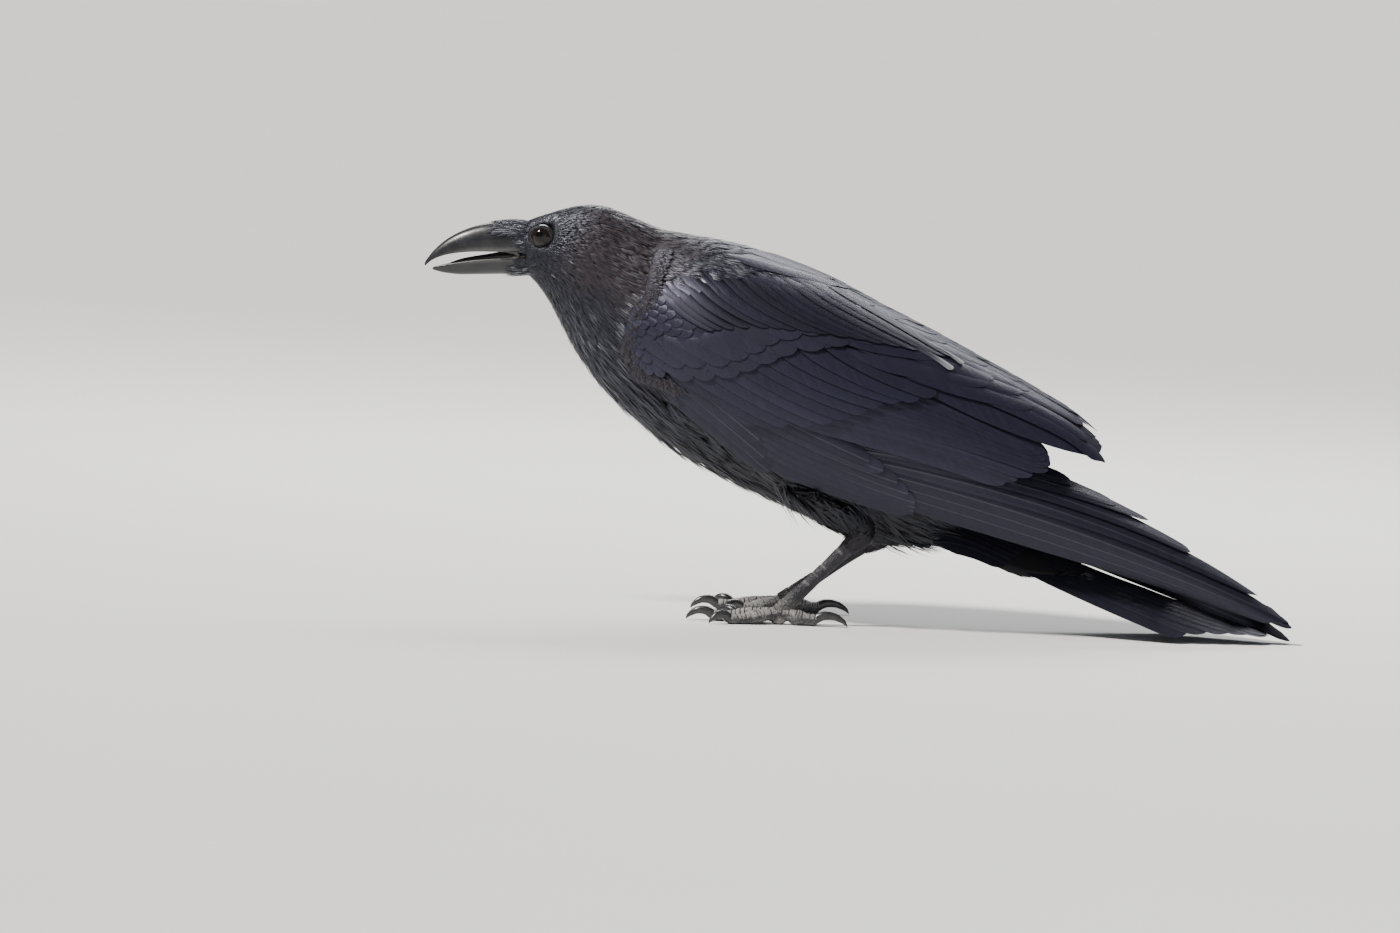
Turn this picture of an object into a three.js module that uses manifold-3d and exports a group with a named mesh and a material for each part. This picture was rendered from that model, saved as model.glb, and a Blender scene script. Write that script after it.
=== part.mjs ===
// A raven that leans forward on crouched legs, life size, as closed solids in millimetres.
// +X runs from the bill to the tail, -Y is the bird's left side, +Z is up and the floor is z = 0.
// The body is drawn in side view (x, z) as slanted oval stations, and each folded wing is a curved
// sheet cut from an outer form by an outline in the same side view.

import * as THREE from "three";
import { mergeVertices } from "three/addons/utils/BufferGeometryUtils.js";
import Module from "manifold-3d";

const wasm = await Module();
wasm.setup();

// ---- Driving dimensions ---------------------------------------------------------------------

const GAP = 0.3; // clearance between neighbouring solids
const LEFT = -1; // sign of y on the bird's left
const RIGHT = 1;
const FAR = 400; // beyond every part of the bird

// Body stations: back point (x, z), throat or belly point (x, z), half width, and how high the
// widest place is, as a share of the station's height.
const BODY = [
  [-170.5, 238.5, -168.5, 207, 11.5, 0.5],
  [-162, 242, -162, 200.5, 16.5, 0.5],
  [-151, 246.3, -155, 192, 20.5, 0.52],
  [-138, 250.4, -147, 179, 24.5, 0.54],
  [-123, 251.6, -138, 163, 27.5, 0.55],
  [-107, 247.0, -127, 147, 30.5, 0.55],
  [-89, 240.3, -113.5, 132, 36, 0.54],
  [-67, 235.4, -96, 117, 42, 0.54],
  [-41, 230.5, -75, 100.5, 49, 0.54],
  [-12, 222, -51, 88.5, 53, 0.53],
  [20, 210.5, -27, 78, 54.5, 0.52],
  [52, 194, 0, 68, 54.5, 0.52],
  [80, 172, 26, 58, 51, 0.52],
  [101, 145, 52, 49, 45, 0.52],
  [116, 118, 78, 48, 36, 0.52],
  [127, 96, 98, 49, 25, 0.52],
  [133, 80, 112, 50, 14, 0.52],
];
const BODY_SIDES = 22;
const NECK_STARTS = 5; // station number where the head ends
const TRUNK_STARTS = 7.35; // and where the neck ends
const PART_LINE = 0.035; // stations left out where two lengths of the body meet

// Outer form of the folded arm with its coverts, secondaries and tertials; the last number is the
// sheet's thickness.
const ARM = [
  [-90, 239, -115, 133, 34.5, 0.54, 5],
  [-68, 235.2, -97, 118, 46, 0.54, 8],
  [-42, 231.5, -76, 101, 55.5, 0.53, 9],
  [-12, 223.5, -52, 86, 60.5, 0.52, 9],
  [20, 212, -27, 74, 63, 0.51, 9],
  [52, 197, 0, 64, 63.5, 0.5, 8],
  [84, 182.5, 30, 52, 61, 0.5, 7],
  [118, 166, 62, 45, 56, 0.5, 6],
  [150, 150, 100, 40, 50, 0.5, 5],
  [178, 134, 135, 35, 44, 0.5, 3.5],
  [204, 111, 165, 30, 38, 0.5, 2.4],
];

// Outer form of the folded hand with the alula, its coverts and the primaries.
const HAND = [
  [-90, 237, -115, 133, 33, 0.54, 5],
  [-68, 233, -97, 118, 44.5, 0.54, 7],
  [-42, 228, -76, 101, 53, 0.53, 8],
  [-12, 220, -52, 86, 58.5, 0.52, 8],
  [20, 206, -27, 74, 61, 0.51, 8],
  [52, 186, 0, 64, 61, 0.5, 7],
  [84, 166, 34, 54, 58, 0.5, 6.5],
  [116, 144, 72, 48, 53.5, 0.5, 6],
  [148, 121, 112, 43, 47.5, 0.5, 5],
  [180, 102, 152, 37, 40.5, 0.5, 4.2],
  [214, 83, 192, 31, 33, 0.5, 3.4],
  [250, 62, 234, 23, 25, 0.5, 2.6],
  [286, 39, 276, 12.5, 17, 0.5, 1.9],
  [322, 12, 317, 4.5, 8, 0.5, 1.3],
];

// Side-view outlines. The arm and the hand share the line where the secondaries and the greater
// coverts overlie the primaries.
const WING_PARTING = [
  [-84, 155],
  [-48, 139.5],
  [-10, 125],
  [49, 117.5],
  [92, 105.5],
  [131, 94],
  [145, 97],
  [157, 103],
  [166.5, 109.5],
];
const ARM_EDGE = [
  [180, 113],
  [190, 116],
  [195.5, 117.5],
  [194.5, 122],
  [187, 132],
  [172, 144],
  [150, 158],
  [120, 173],
  [92, 187],
  [66, 195],
  [40, 203],
  [10, 212],
  [-20, 219],
  [-48, 219.5],
  [-72, 213],
  [-92, 202.5],
  [-106, 184],
  [-104, 168],
  [-95, 159],
];
const HAND_EDGE = [
  [190, 96],
  [214, 82],
  [236, 69],
  [258, 55],
  [285, 37],
  [306, 21.5],
  [316.5, 11.5],
  [315.5, 9],
  [305, 13],
  [270, 29],
  [222, 45.5],
  [172, 57],
  [104, 69.5],
  [64, 74],
  [29, 79.5],
  [2, 88.5],
  [-13, 93],
  [-30, 103],
  [-48, 112.5],
  [-66, 127],
  [-79, 142],
];
const WING_SIDES = 20;
const MID_GAP = 1.2; // each wing stops this far from the middle of the back
const RIGHT_SAG = 7; // the right wing's tip hangs this much lower than the left's
const SAG_FROM = 60; // x where that begins

// Tail stations: x, height of the middle ridge, height of the outer edges, half width, thickness.
const TAIL = [
  [98, 80, 64, 19, 19],
  [118, 70, 52, 25, 19],
  [140, 60, 39, 29.5, 16],
  [165, 49.5, 27.5, 32.5, 11],
  [195, 38.5, 17.5, 34.5, 7.5],
  [225, 29, 9.5, 34.5, 5.6],
  [252, 21.5, 3.4, 31, 4.4],
  [274, 15.5, 0.4, 25, 3.6],
  [291, 10.2, -0.4, 17, 2.8],
  [304, 5.6, 0.6, 8, 2],
];

// Mandible stations: x, ridge height, cutting-edge height, half width.
const UPPER_BILL = [
  [-160, 237.5, 219.2, 10.5],
  [-172, 238.2, 219.2, 10.2],
  [-185, 237.4, 219.0, 9.2],
  [-198, 234.6, 218.4, 7.9],
  [-209, 230.2, 217.2, 6.4],
  [-218.5, 224.2, 215.0, 4.7],
  [-226, 216.8, 211.6, 2.9],
  [-231, 209.6, 207.0, 1.2],
];
const LOWER_BILL = [
  [-160, 215.4, 205.6, 9.6],
  [-172, 215.4, 205.2, 9.0],
  [-185, 214.8, 204.6, 7.8],
  [-198, 213.2, 203.8, 6.2],
  [-209, 211.2, 203.2, 4.6],
  [-218.5, 209.0, 203.8, 3.0],
  [-226, 206.9, 205.3, 1.2],
];

const EYE = { x: -158.6, z: 230.2, y: 11.9, radius: 7.6 };

// Legs: the ankle and the ball of the foot (x, z), the same on both sides but for the places.
const TARSUS_RADII = [5.6, 4.6, 3.9, 3.9, 4.3, 5.0];
const BALL_HEIGHT = 7.4;
const BALL_RADIUS = 6.4;
const LEGS = [
  { side: LEFT, name: "left", ankle: [47, 57.5, 32], ball: [-1, 37], turn: 4 },
  { side: RIGHT, name: "right", ankle: [59, 51, 32], ball: [1, 38], turn: -9 },
];
const THIGH_TOP = { x: 14, y: 27, z: 96 };
const THIGH_RADII = [24, 22.5, 18, 13, 8];

// Toes: angle off straight ahead towards the bird's outer side, length, root and tip radius, and
// the claw's length. The hind toe points back.
const TOES = [
  { name: "inner", angle: -27, length: 33, root: 4.4, tip: 3.5, claw: 16 },
  { name: "middle", angle: 2, length: 43, root: 4.6, tip: 3.6, claw: 17 },
  { name: "outer", angle: 29, length: 36, root: 4.3, tip: 3.3, claw: 14 },
  { name: "hind", angle: 184, length: 25, root: 4.8, tip: 4.0, claw: 21 },
];
const CLAW_ROOT = 2.9;
const CLAW_TIP = 0.45;
const SOLE_SINK = 0.7; // how much of each pad the floor flattens

// ---- Materials ------------------------------------------------------------------------------

const finish = (color, roughness, metalness = 0) =>
  new THREE.MeshStandardMaterial({ color, roughness, metalness });
const PLUMAGE = finish(0x23232b, 0.5, 0.2);
const FLIGHT = finish(0x2a2c38, 0.42, 0.25);
const HORN = finish(0x2b2b2e, 0.35);
const LEG_SKIN = finish(0x2c2a2a, 0.55);
const CLAW_HORN = finish(0x1f1e1f, 0.3);
const EYE_BROWN = finish(0x14100d, 0.08);

// ---- From three.js geometry to manifold-3d solids and back ------------------------------------

function solidOf(geometry) {
  const bare = geometry.clone();
  bare.deleteAttribute("normal");
  bare.deleteAttribute("uv");
  const merged = mergeVertices(bare, 1e-4);
  const vertProperties = new Float32Array(merged.attributes.position.array);
  const triVerts = new Uint32Array(merged.index.array);
  return new wasm.Manifold(new wasm.Mesh({ numProp: 3, vertProperties, triVerts }));
}

function geometryOf(solid) {
  const mesh = solid.getMesh();
  const geometry = new THREE.BufferGeometry();
  geometry.setAttribute("position", new THREE.BufferAttribute(mesh.vertProperties, 3));
  geometry.setIndex(new THREE.BufferAttribute(mesh.triVerts, 1));
  geometry.computeVertexNormals();
  return geometry;
}

// The largest body of a cut solid; a cut through thin sheets can leave slivers behind.
function largest(solid) {
  const bodies = solid.decompose();
  return bodies.reduce((a, b) => (a.volume() > b.volume() ? a : b));
}

// ---- Lofts ----------------------------------------------------------------------------------

// Catmull-Rom through rows of numbers; at counts in rows from 0.
function between(rows, at) {
  const first = Math.min(Math.max(Math.floor(at), 0), rows.length - 2);
  const f = at - first;
  const row = (k) => rows[Math.min(Math.max(k, 0), rows.length - 1)];
  return row(0).map((_, c) => {
    const [a, b, d, e] = [-1, 0, 1, 2].map((k) => row(first + k)[c]);
    const slopeIn = (d - a) / 2;
    const slopeOut = (e - b) / 2;
    const bend = 2 * b - 2 * d + slopeIn + slopeOut;
    const rise = 3 * d - 3 * b - 2 * slopeIn - slopeOut;
    return b + f * (slopeIn + f * (rise + f * bend));
  });
}

// A closed skin over rings of equally many points, capped at both ends.
function loft(rings) {
  const count = rings[0].length;
  const middle = (ring) =>
    ring.reduce((sum, p) => sum.add(p), new THREE.Vector3()).divideScalar(count);
  const points = [...rings.flat(), middle(rings[0]), middle(rings.at(-1))];
  const firstCap = rings.length * count;
  const index = [];
  for (let k = 0; k < count; k++) {
    const next = (k + 1) % count;
    for (let r = 0; r < rings.length - 1; r++) {
      const near = r * count;
      const far = near + count;
      index.push(near + k, near + next, far + k, near + next, far + next, far + k);
    }
    const last = firstCap - count;
    index.push(firstCap, next, k, firstCap + 1, last + k, last + next);
  }
  return new THREE.BufferGeometry().setFromPoints(points).setIndex(index);
}

// Points round an oval station; grow pushes it outwards.
function oval([backX, backZ, bellyX, bellyZ, half, widest], count, grow = 0) {
  const low = new THREE.Vector3(bellyX, 0, bellyZ);
  const rise = new THREE.Vector3(backX, 0, backZ).sub(low);
  const stretch = grow / rise.length();
  return Array.from({ length: count }, (_, k) => {
    const angle = (2 * Math.PI * k) / count;
    const s = Math.sin(angle);
    const share = s > 0 ? widest + (1 - widest) * s : widest * (1 + s);
    const along = share + stretch * (2 * share - 1);
    const point = low.clone().addScaledVector(rise, along);
    point.y = Math.cos(angle) * Math.max(half + grow, 0.2);
    return point;
  });
}

const steps = (from, to, count) =>
  Array.from({ length: count + 1 }, (_, k) => from + ((to - from) * k) / count);

// The body through the given station numbers.
function bodyThrough(stops, grow = 0) {
  return solidOf(loft(stops.map((at) => oval(between(BODY, at), BODY_SIDES, grow))));
}

// ---- Wings ----------------------------------------------------------------------------------

function sagged(points, sag) {
  const tip = HAND.at(-1)[0];
  return points.map((p) => {
    const drop = sag * THREE.MathUtils.smoothstep(p.x, SAG_FROM, tip);
    return new THREE.Vector3(p.x, p.y, p.z - drop);
  });
}

// The hollow skin between a form and the same form drawn in by its thickness.
function sheet(rows, stops, sag, grow) {
  const form = (inner) => {
    const ring = (row) => oval(row, WING_SIDES, inner ? -row[6] - grow : grow);
    return solidOf(loft(stops.map((at) => sagged(ring(between(rows, at)), sag))));
  };
  return form(false).subtract(form(true));
}

// A side-view outline as a slab on one side of the bird.
function slab(outline, side, sag) {
  const corners = outline.map(([x, z]) => new THREE.Vector3(x, 0, z));
  const shape = new THREE.Shape(sagged(corners, sag).map((p) => new THREE.Vector2(p.x, p.z)));
  const depth = FAR / 4;
  const geometry = new THREE.ExtrudeGeometry(shape, { depth, bevelEnabled: false });
  geometry.rotateX(Math.PI / 2); // the outline now stands in x and z, and reaches to y = -depth
  geometry.translate(0, side === LEFT ? -MID_GAP : depth + MID_GAP, 0);
  return solidOf(geometry);
}

const lifted = (line, by) => line.map(([x, z]) => [x, z + by]);
const armOutline = [...lifted(WING_PARTING, GAP / 2), ...ARM_EDGE];
const handOutline = [...lifted(WING_PARTING, -GAP / 2), ...HAND_EDGE];

// One part of a folded wing; grow makes it thicker and lower, as room for it in what lies under.
function wingPart(rows, outline, side, grow = 0) {
  const sag = side === RIGHT ? RIGHT_SAG : 0;
  const stops = steps(0, rows.length - 1, rows.length - 1);
  const cut = slab(lifted(outline, -2 * grow), side, sag);
  return sheet(rows, stops, sag, grow).intersect(cut);
}

// ---- Tail -----------------------------------------------------------------------------------

// A roof-shaped section of the closed tail, thin at its edges.
function tailRing([x, ridge, edge, half, thick], around) {
  const across = around / 2;
  const upper = steps(-1, 1, across).map((u) => {
    const z = ridge - (ridge - edge) * Math.abs(u) ** 1.6;
    return { u, z };
  });
  const under = ({ u, z }) => new THREE.Vector3(x, u * half, z - thick * (1 - 0.75 * u * u));
  const over = ({ u, z }) => new THREE.Vector3(x, u * half, z);
  return [...upper.map(under), ...upper.toReversed().map(over)];
}

function tailSolid(body) {
  const rings = steps(0, TAIL.length - 1, 12).map((at) => tailRing(between(TAIL, at), 12));
  const whole = solidOf(loft(rings));
  return largest(whole.subtract(body).subtract(belowFloor()));
}

// ---- Bill -----------------------------------------------------------------------------------

// One mandible: a ridge, bulging sides and a flat cutting face. Up is +1 for the upper one.
function mandible(rows, up, around) {
  const rings = steps(0, rows.length - 1, 14).map((at) => {
    const [x, high, low, half] = between(rows, at);
    const [ridge, edge] = up > 0 ? [high, low] : [low, high];
    const arch = steps(0, 1, around).map((t) => {
      const angle = Math.PI * t;
      const bulge = Math.sign(Math.cos(angle)) * Math.abs(Math.cos(angle)) ** 0.8;
      const z = edge + (ridge - edge) * Math.sin(angle) ** 0.9;
      return new THREE.Vector3(x, half * bulge * up, z);
    });
    return arch;
  });
  return solidOf(loft(rings.reverse()));
}

// ---- Legs -----------------------------------------------------------------------------------

// A round limb through points with a radius at each, with rings square to its line.
function limb(points, radii, count, around, flatten = 1) {
  const line = new THREE.CatmullRomCurve3(points, false, "catmullrom");
  const sizes = radii.map((r) => [r]);
  const side = new THREE.Vector3();
  const up = new THREE.Vector3();
  const rings = steps(0, 1, count).map((t) => {
    const centre = line.getPoint(t);
    const forward = line.getTangent(t);
    side.crossVectors(new THREE.Vector3(0, 0, 1), forward).normalize();
    up.crossVectors(forward, side);
    const [radius] = between(sizes, t * (radii.length - 1));
    return Array.from({ length: around }, (_, k) => {
      const angle = (2 * Math.PI * k) / around;
      return centre
        .clone()
        .addScaledVector(side, radius * flatten * Math.cos(angle))
        .addScaledVector(up, radius * Math.sin(angle));
    });
  });
  return solidOf(loft(rings));
}

function belowFloor() {
  const block = new THREE.BoxGeometry(2 * FAR, 2 * FAR, 40);
  block.translate(0, 0, -20);
  return solidOf(block);
}

// Where a toe starts, which way it points and the heights of its joints.
function toeLine(toe, leg) {
  const degrees = leg.turn + leg.side * toe.angle;
  const angle = THREE.MathUtils.degToRad(degrees);
  const ahead = new THREE.Vector3(-Math.cos(angle), Math.sin(angle), 0);
  const ball = new THREE.Vector3(leg.ball[0], leg.side * leg.ball[1], BALL_HEIGHT);
  const at = (share, height) => {
    const point = ball.clone().addScaledVector(ahead, toe.length * share);
    point.z = height;
    return point;
  };
  return { ahead, at };
}

function toeSolid(toe, leg) {
  const { at } = toeLine(toe, leg);
  const sole = toe.tip - SOLE_SINK;
  const points = [
    at(0, BALL_HEIGHT - 1.5),
    at(0.25, toe.root + 1.2),
    at(0.5, toe.root - SOLE_SINK + 0.3),
    at(0.75, sole + 0.5),
    at(1, sole + 0.2),
  ];
  const waist = 0.88; // between pads the toe is thinner
  const radii = [toe.root, toe.root * waist, toe.root, toe.tip * waist, toe.tip * 1.05];
  return limb(points, radii, 8, 8);
}

// A claw leaves the toe's end, arches over and comes down to the floor at its point.
function clawSolid(toe, leg) {
  const { ahead, at } = toeLine(toe, leg);
  const start = at(1, toe.tip - SOLE_SINK + 0.6).addScaledVector(ahead, -1);
  const reach = (share, height) => {
    const point = start.clone().addScaledVector(ahead, toe.claw * share);
    point.z = height;
    return point;
  };
  const points = [
    start,
    reach(0.28, start.z + 1.9),
    reach(0.58, start.z + 1.0),
    reach(0.8, start.z - 1.4),
    reach(0.86, 0.75),
  ];
  const radii = [CLAW_ROOT, 2.5, 1.75, 1.0, CLAW_TIP];
  return limb(points, radii, 6, 7, 0.8).subtract(belowFloor());
}

// The ball of the foot and its four toes as one solid; grow makes them larger all round.
function footSolid(leg, grow = 0) {
  const ball = new THREE.SphereGeometry(BALL_RADIUS + grow, 10, 6);
  ball.scale(1.15, 1, 1);
  ball.translate(leg.ball[0], leg.side * leg.ball[1], BALL_HEIGHT - 1.6);
  const grown = ({ length, root, tip, ...toe }) => {
    return { ...toe, length: length + grow, root: root + grow, tip: tip + grow };
  };
  const toes = TOES.map((toe) => toeSolid(grown(toe), leg));
  return toes.reduce((sum, toe) => sum.add(toe), solidOf(ball));
}

function tarsusSolid(leg) {
  const [ankleX, ankleZ, ankleY] = leg.ankle;
  const top = new THREE.Vector3(ankleX, leg.side * ankleY, ankleZ);
  const bottom = new THREE.Vector3(leg.ball[0], leg.side * leg.ball[1], BALL_HEIGHT + 1);
  const points = steps(0, 1, 5).map((t) => top.clone().lerp(bottom, t));
  return limb(points, TARSUS_RADII, 6, 10, 0.82);
}

function thighSolid(leg, grow = 0) {
  const [ankleX, ankleZ, ankleY] = leg.ankle;
  const top = new THREE.Vector3(THIGH_TOP.x, leg.side * THIGH_TOP.y, THIGH_TOP.z);
  const end = new THREE.Vector3(ankleX + 2, leg.side * ankleY, ankleZ);
  const points = steps(0, 1, 4).map((t) => top.clone().lerp(end, t));
  points[2].z -= 3;
  const radii = THIGH_RADII.map((r) => r + grow);
  return limb(points, radii, 8, 14);
}

// ---- The bird -------------------------------------------------------------------------------

const bird = new THREE.Group();

function addNode(name, solid, material) {
  const mesh = new THREE.Mesh(geometryOf(solid), material);
  mesh.name = name;
  bird.add(mesh);
}

const headStops = steps(0, NECK_STARTS - PART_LINE, 10);
const neckStops = steps(NECK_STARTS, TRUNK_STARTS - PART_LINE, 5);
const trunkStops = steps(TRUNK_STARTS, BODY.length - 1, 14);
const bodyWithGap = bodyThrough([...headStops, ...neckStops, ...trunkStops], GAP);

// Head, neck and trunk, with sockets for the eyes.
const eyeball = (side, grow) => {
  const ball = new THREE.SphereGeometry(EYE.radius + grow, 14, 9);
  ball.translate(EYE.x, side * EYE.y, EYE.z);
  return solidOf(ball);
};
const head = bodyThrough(headStops);
addNode("head", head.subtract(eyeball(LEFT, GAP)).subtract(eyeball(RIGHT, GAP)), PLUMAGE);
addNode("neck", bodyThrough(neckStops), PLUMAGE);
addNode("trunk", bodyThrough(trunkStops), PLUMAGE);
addNode("eye_left", eyeball(LEFT, 0), EYE_BROWN);
addNode("eye_right", eyeball(RIGHT, 0), EYE_BROWN);

addNode("bill_upper", largest(mandible(UPPER_BILL, 1, 8).subtract(bodyWithGap)), HORN);
addNode("bill_lower", largest(mandible(LOWER_BILL, -1, 8).subtract(bodyWithGap)), HORN);

for (const [side, name] of [
  [LEFT, "left"],
  [RIGHT, "right"],
]) {
  const arm = wingPart(ARM, armOutline, side).subtract(bodyWithGap);
  const hand = wingPart(HAND, handOutline, side).subtract(bodyWithGap);
  addNode(`wing_${name}`, largest(arm), FLIGHT);
  addNode(`primaries_${name}`, largest(hand), FLIGHT);
}

addNode("tail", tailSolid(bodyWithGap), FLIGHT);

for (const leg of LEGS) {
  const wingRoom = wingPart(HAND, handOutline, leg.side, GAP);
  const footRoom = footSolid(leg, GAP);
  const thigh = thighSolid(leg).subtract(bodyWithGap).subtract(wingRoom);
  const tarsus = tarsusSolid(leg).subtract(thighSolid(leg, GAP)).subtract(footRoom);
  addNode(`thigh_${leg.name}`, largest(thigh), PLUMAGE);
  addNode(`tarsus_${leg.name}`, largest(tarsus.subtract(bodyWithGap)), LEG_SKIN);
  addNode(`foot_${leg.name}`, footSolid(leg).subtract(belowFloor()), LEG_SKIN);
  for (const toe of TOES) {
    const claw = clawSolid(toe, leg).subtract(footRoom);
    addNode(`claw_${leg.name}_${toe.name}`, largest(claw), CLAW_HORN);
  }
}

// The origin is the middle of the bounding box's base.
const bounds = new THREE.Box3().setFromObject(bird);
const middle = bounds.getCenter(new THREE.Vector3());
bird.position.set(-middle.x, -middle.y, -bounds.min.z);

const model = new THREE.Group();
model.add(bird);
export default model;
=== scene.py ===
"""A life-size raven that leans forward on crouched legs: its skin, feathers, bill, eyes and feet.

Lengths are drawn in millimetres: +X runs from the bill to the tail, -Y is the bird's left side and
the floor is z = 0. They go to metres, in the frame's place, when a mesh is made. A folded wing is
drawn in side view, and its feathers are laid on the smooth form of the wing.
"""

import math
from itertools import product

import bpy
import numpy as np
from mathutils import Matrix, Vector
from mathutils.bvhtree import BVHTree


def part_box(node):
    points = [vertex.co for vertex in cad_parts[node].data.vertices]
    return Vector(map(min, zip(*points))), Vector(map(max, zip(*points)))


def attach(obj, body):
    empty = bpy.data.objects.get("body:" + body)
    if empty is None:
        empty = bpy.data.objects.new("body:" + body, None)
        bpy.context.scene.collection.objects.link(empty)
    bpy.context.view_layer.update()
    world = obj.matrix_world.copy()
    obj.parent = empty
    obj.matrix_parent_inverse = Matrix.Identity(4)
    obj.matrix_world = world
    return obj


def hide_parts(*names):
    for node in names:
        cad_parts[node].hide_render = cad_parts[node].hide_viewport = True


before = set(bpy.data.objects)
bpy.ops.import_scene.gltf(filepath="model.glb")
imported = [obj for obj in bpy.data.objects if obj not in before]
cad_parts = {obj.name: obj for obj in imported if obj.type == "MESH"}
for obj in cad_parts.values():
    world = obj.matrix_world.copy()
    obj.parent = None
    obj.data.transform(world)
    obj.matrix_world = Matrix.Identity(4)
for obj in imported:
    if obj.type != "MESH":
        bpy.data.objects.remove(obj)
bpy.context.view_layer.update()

MM = 0.001
BILL_TIP_X = -231.0  # where the bill's tip is drawn
SHIFT = np.array([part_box("bill_upper")[0].x / MM - BILL_TIP_X, 0.0, 0.0])
LEFT, RIGHT = -1, 1
SIDE_NAMES = {LEFT: "left", RIGHT: "right"}
REACH = 300.0  # beyond the bird on either side
COAT_GAP, CLAW_GAP, SOLE_GAP = 0.2, 0.1, 0.05  # from the floor up to feathers, claws and soles

# ---- Driving dimensions ----------------------------------------------------------------------

# Body stations: back point (x, z), throat or belly point (x, z), half width, and how high the
# widest place is as a share of the station's height.
BODY = [
    [-170.5, 238.5, -168.5, 207, 11.5, 0.5],
    [-162, 242, -162, 200.5, 16.5, 0.5],
    [-151, 246.3, -155, 192, 20.5, 0.52],
    [-138, 250.4, -147, 179, 24.5, 0.54],
    [-123, 251.6, -138, 163, 27.5, 0.55],
    [-107, 247.0, -127, 147, 30.5, 0.55],
    [-89, 240.3, -113.5, 132, 36, 0.54],
    [-67, 235.4, -96, 117, 42, 0.54],
    [-41, 230.5, -75, 100.5, 49, 0.54],
    [-12, 222, -51, 88.5, 53, 0.53],
    [20, 210.5, -27, 78, 54.5, 0.52],
    [52, 194, 0, 68, 54.5, 0.52],
    [80, 172, 26, 58, 51, 0.52],
    [101, 145, 52, 49, 45, 0.52],
    [116, 118, 78, 48, 36, 0.52],
    [127, 96, 98, 49, 25, 0.52],
    [133, 80, 112, 50, 14, 0.52],
]

# Outer forms of the folded arm and of the folded hand, in the same way.
ARM = [
    [-90, 239, -115, 133, 34.5, 0.54],
    [-68, 235.2, -97, 118, 46, 0.54],
    [-42, 231.5, -76, 101, 55.5, 0.53],
    [-12, 223.5, -52, 86, 60.5, 0.52],
    [20, 212, -27, 74, 63, 0.51],
    [52, 197, 0, 64, 63.5, 0.5],
    [84, 182.5, 30, 52, 61, 0.5],
    [118, 166, 62, 45, 56, 0.5],
    [150, 150, 100, 40, 50, 0.5],
    [178, 134, 135, 35, 44, 0.5],
    [204, 111, 165, 30, 38, 0.5],
]
HAND = [
    [-90, 237, -115, 133, 33, 0.54],
    [-68, 233, -97, 118, 44.5, 0.54],
    [-42, 228, -76, 101, 53, 0.53],
    [-12, 220, -52, 86, 58.5, 0.52],
    [20, 206, -27, 74, 61, 0.51],
    [52, 186, 0, 64, 61, 0.5],
    [84, 166, 34, 54, 58, 0.5],
    [116, 144, 72, 48, 53.5, 0.5],
    [148, 121, 112, 43, 47.5, 0.5],
    [180, 102, 152, 37, 40.5, 0.5],
    [214, 83, 192, 31, 33, 0.5],
    [250, 62, 234, 23, 25, 0.5],
    [286, 39, 276, 12.5, 17, 0.5],
    [322, 12, 317, 4.5, 8, 0.5],
]
RIGHT_SAG = 9.5  # the right wing's tip hangs this much lower than the left's
SAG_FROM = 60.0  # x where that begins
WING_TIP_X = 322.0

# Side view of the part of a folded wing that is bedded on the body.
WING_BED = [
    (-90, 168), (-88, 188), (-62, 206), (0, 208), (60, 187), (104, 165), (126, 148),
    (124, 116), (104, 92), (60, 90), (-5, 106), (-50, 129), (-80, 152),
]
# Side view of what the wings hide of the body.
WING_COVER = [
    (-84, 172), (-78, 190), (-58, 240), (60, 215), (140, 150), (180, 90), (150, 76),
    (100, 92), (34, 101), (-18, 120), (-52, 143),
]

# Tail stations: x, height of the middle, height of the edges, half width, thickness.
TAIL = [
    [88, 84, 70, 17, 20],
    [118, 71, 52, 26, 19],
    [140, 61.5, 39, 29.5, 16],
    [165, 51.5, 27.5, 32.5, 11],
    [195, 40.5, 17.5, 34.5, 7.5],
    [225, 31, 9.5, 34.5, 5.6],
    [252, 22.5, 3.4, 34, 4.4],
    [274, 15.5, 1.4, 33, 3.6],
    [291, 10.2, 0.9, 32, 2.8],
    [310, 4.4, 0.8, 31, 2],
]
TAIL_BASE_END = 205.0  # x where the flesh and the coverts under the tail end
# Tail feather tips, x and y, from the middle pair out, and the small feathers over their roots.
TAIL_TIPS = [(303, 4), (300, 8), (292, 12), (281, 16.5), (268, 21.5), (252, 28)]
TAIL_COVERT_COUNT = 18
# The coverts under the tail: length, how far before the tail root's end and within what share of
# its width they start, and how far they stand off.
UNDERTAIL_LENGTH = 29
UNDERTAIL_BEFORE = 30
UNDERTAIL_SHARE = 0.72
UNDERTAIL_DEPTH = 3.5
UNDERTAIL_LIFT = 0.35

# Mandible stations: x, ridge height, cutting-edge height, half width.
UPPER_BILL = [
    [-160, 237.5, 219.2, 10.5],
    [-172, 238.2, 219.2, 10.2],
    [-185, 237.4, 219.0, 9.2],
    [-198, 234.6, 218.4, 7.9],
    [-209, 230.2, 217.2, 6.4],
    [-218.5, 224.2, 215.0, 4.7],
    [-226, 216.8, 211.6, 2.9],
    [-231, 209.6, 207.0, 1.2],
]
LOWER_BILL = [
    [-160, 215.4, 205.6, 9.6],
    [-172, 215.4, 205.2, 9.0],
    [-185, 214.8, 204.6, 7.8],
    [-198, 213.2, 203.8, 6.2],
    [-209, 211.2, 203.2, 4.6],
    [-218.5, 209.0, 203.8, 3.0],
    [-226, 206.9, 205.3, 1.2],
]

EYE = np.array([-158.6, 11.9, 230.2])  # y is towards the eye's own side
EYE_RADIUS = 7.6
BARE_LID = 7.1  # radius of the bare skin round an eye
FACE_X = -170.4  # where the coat ends and the bill begins

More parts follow.
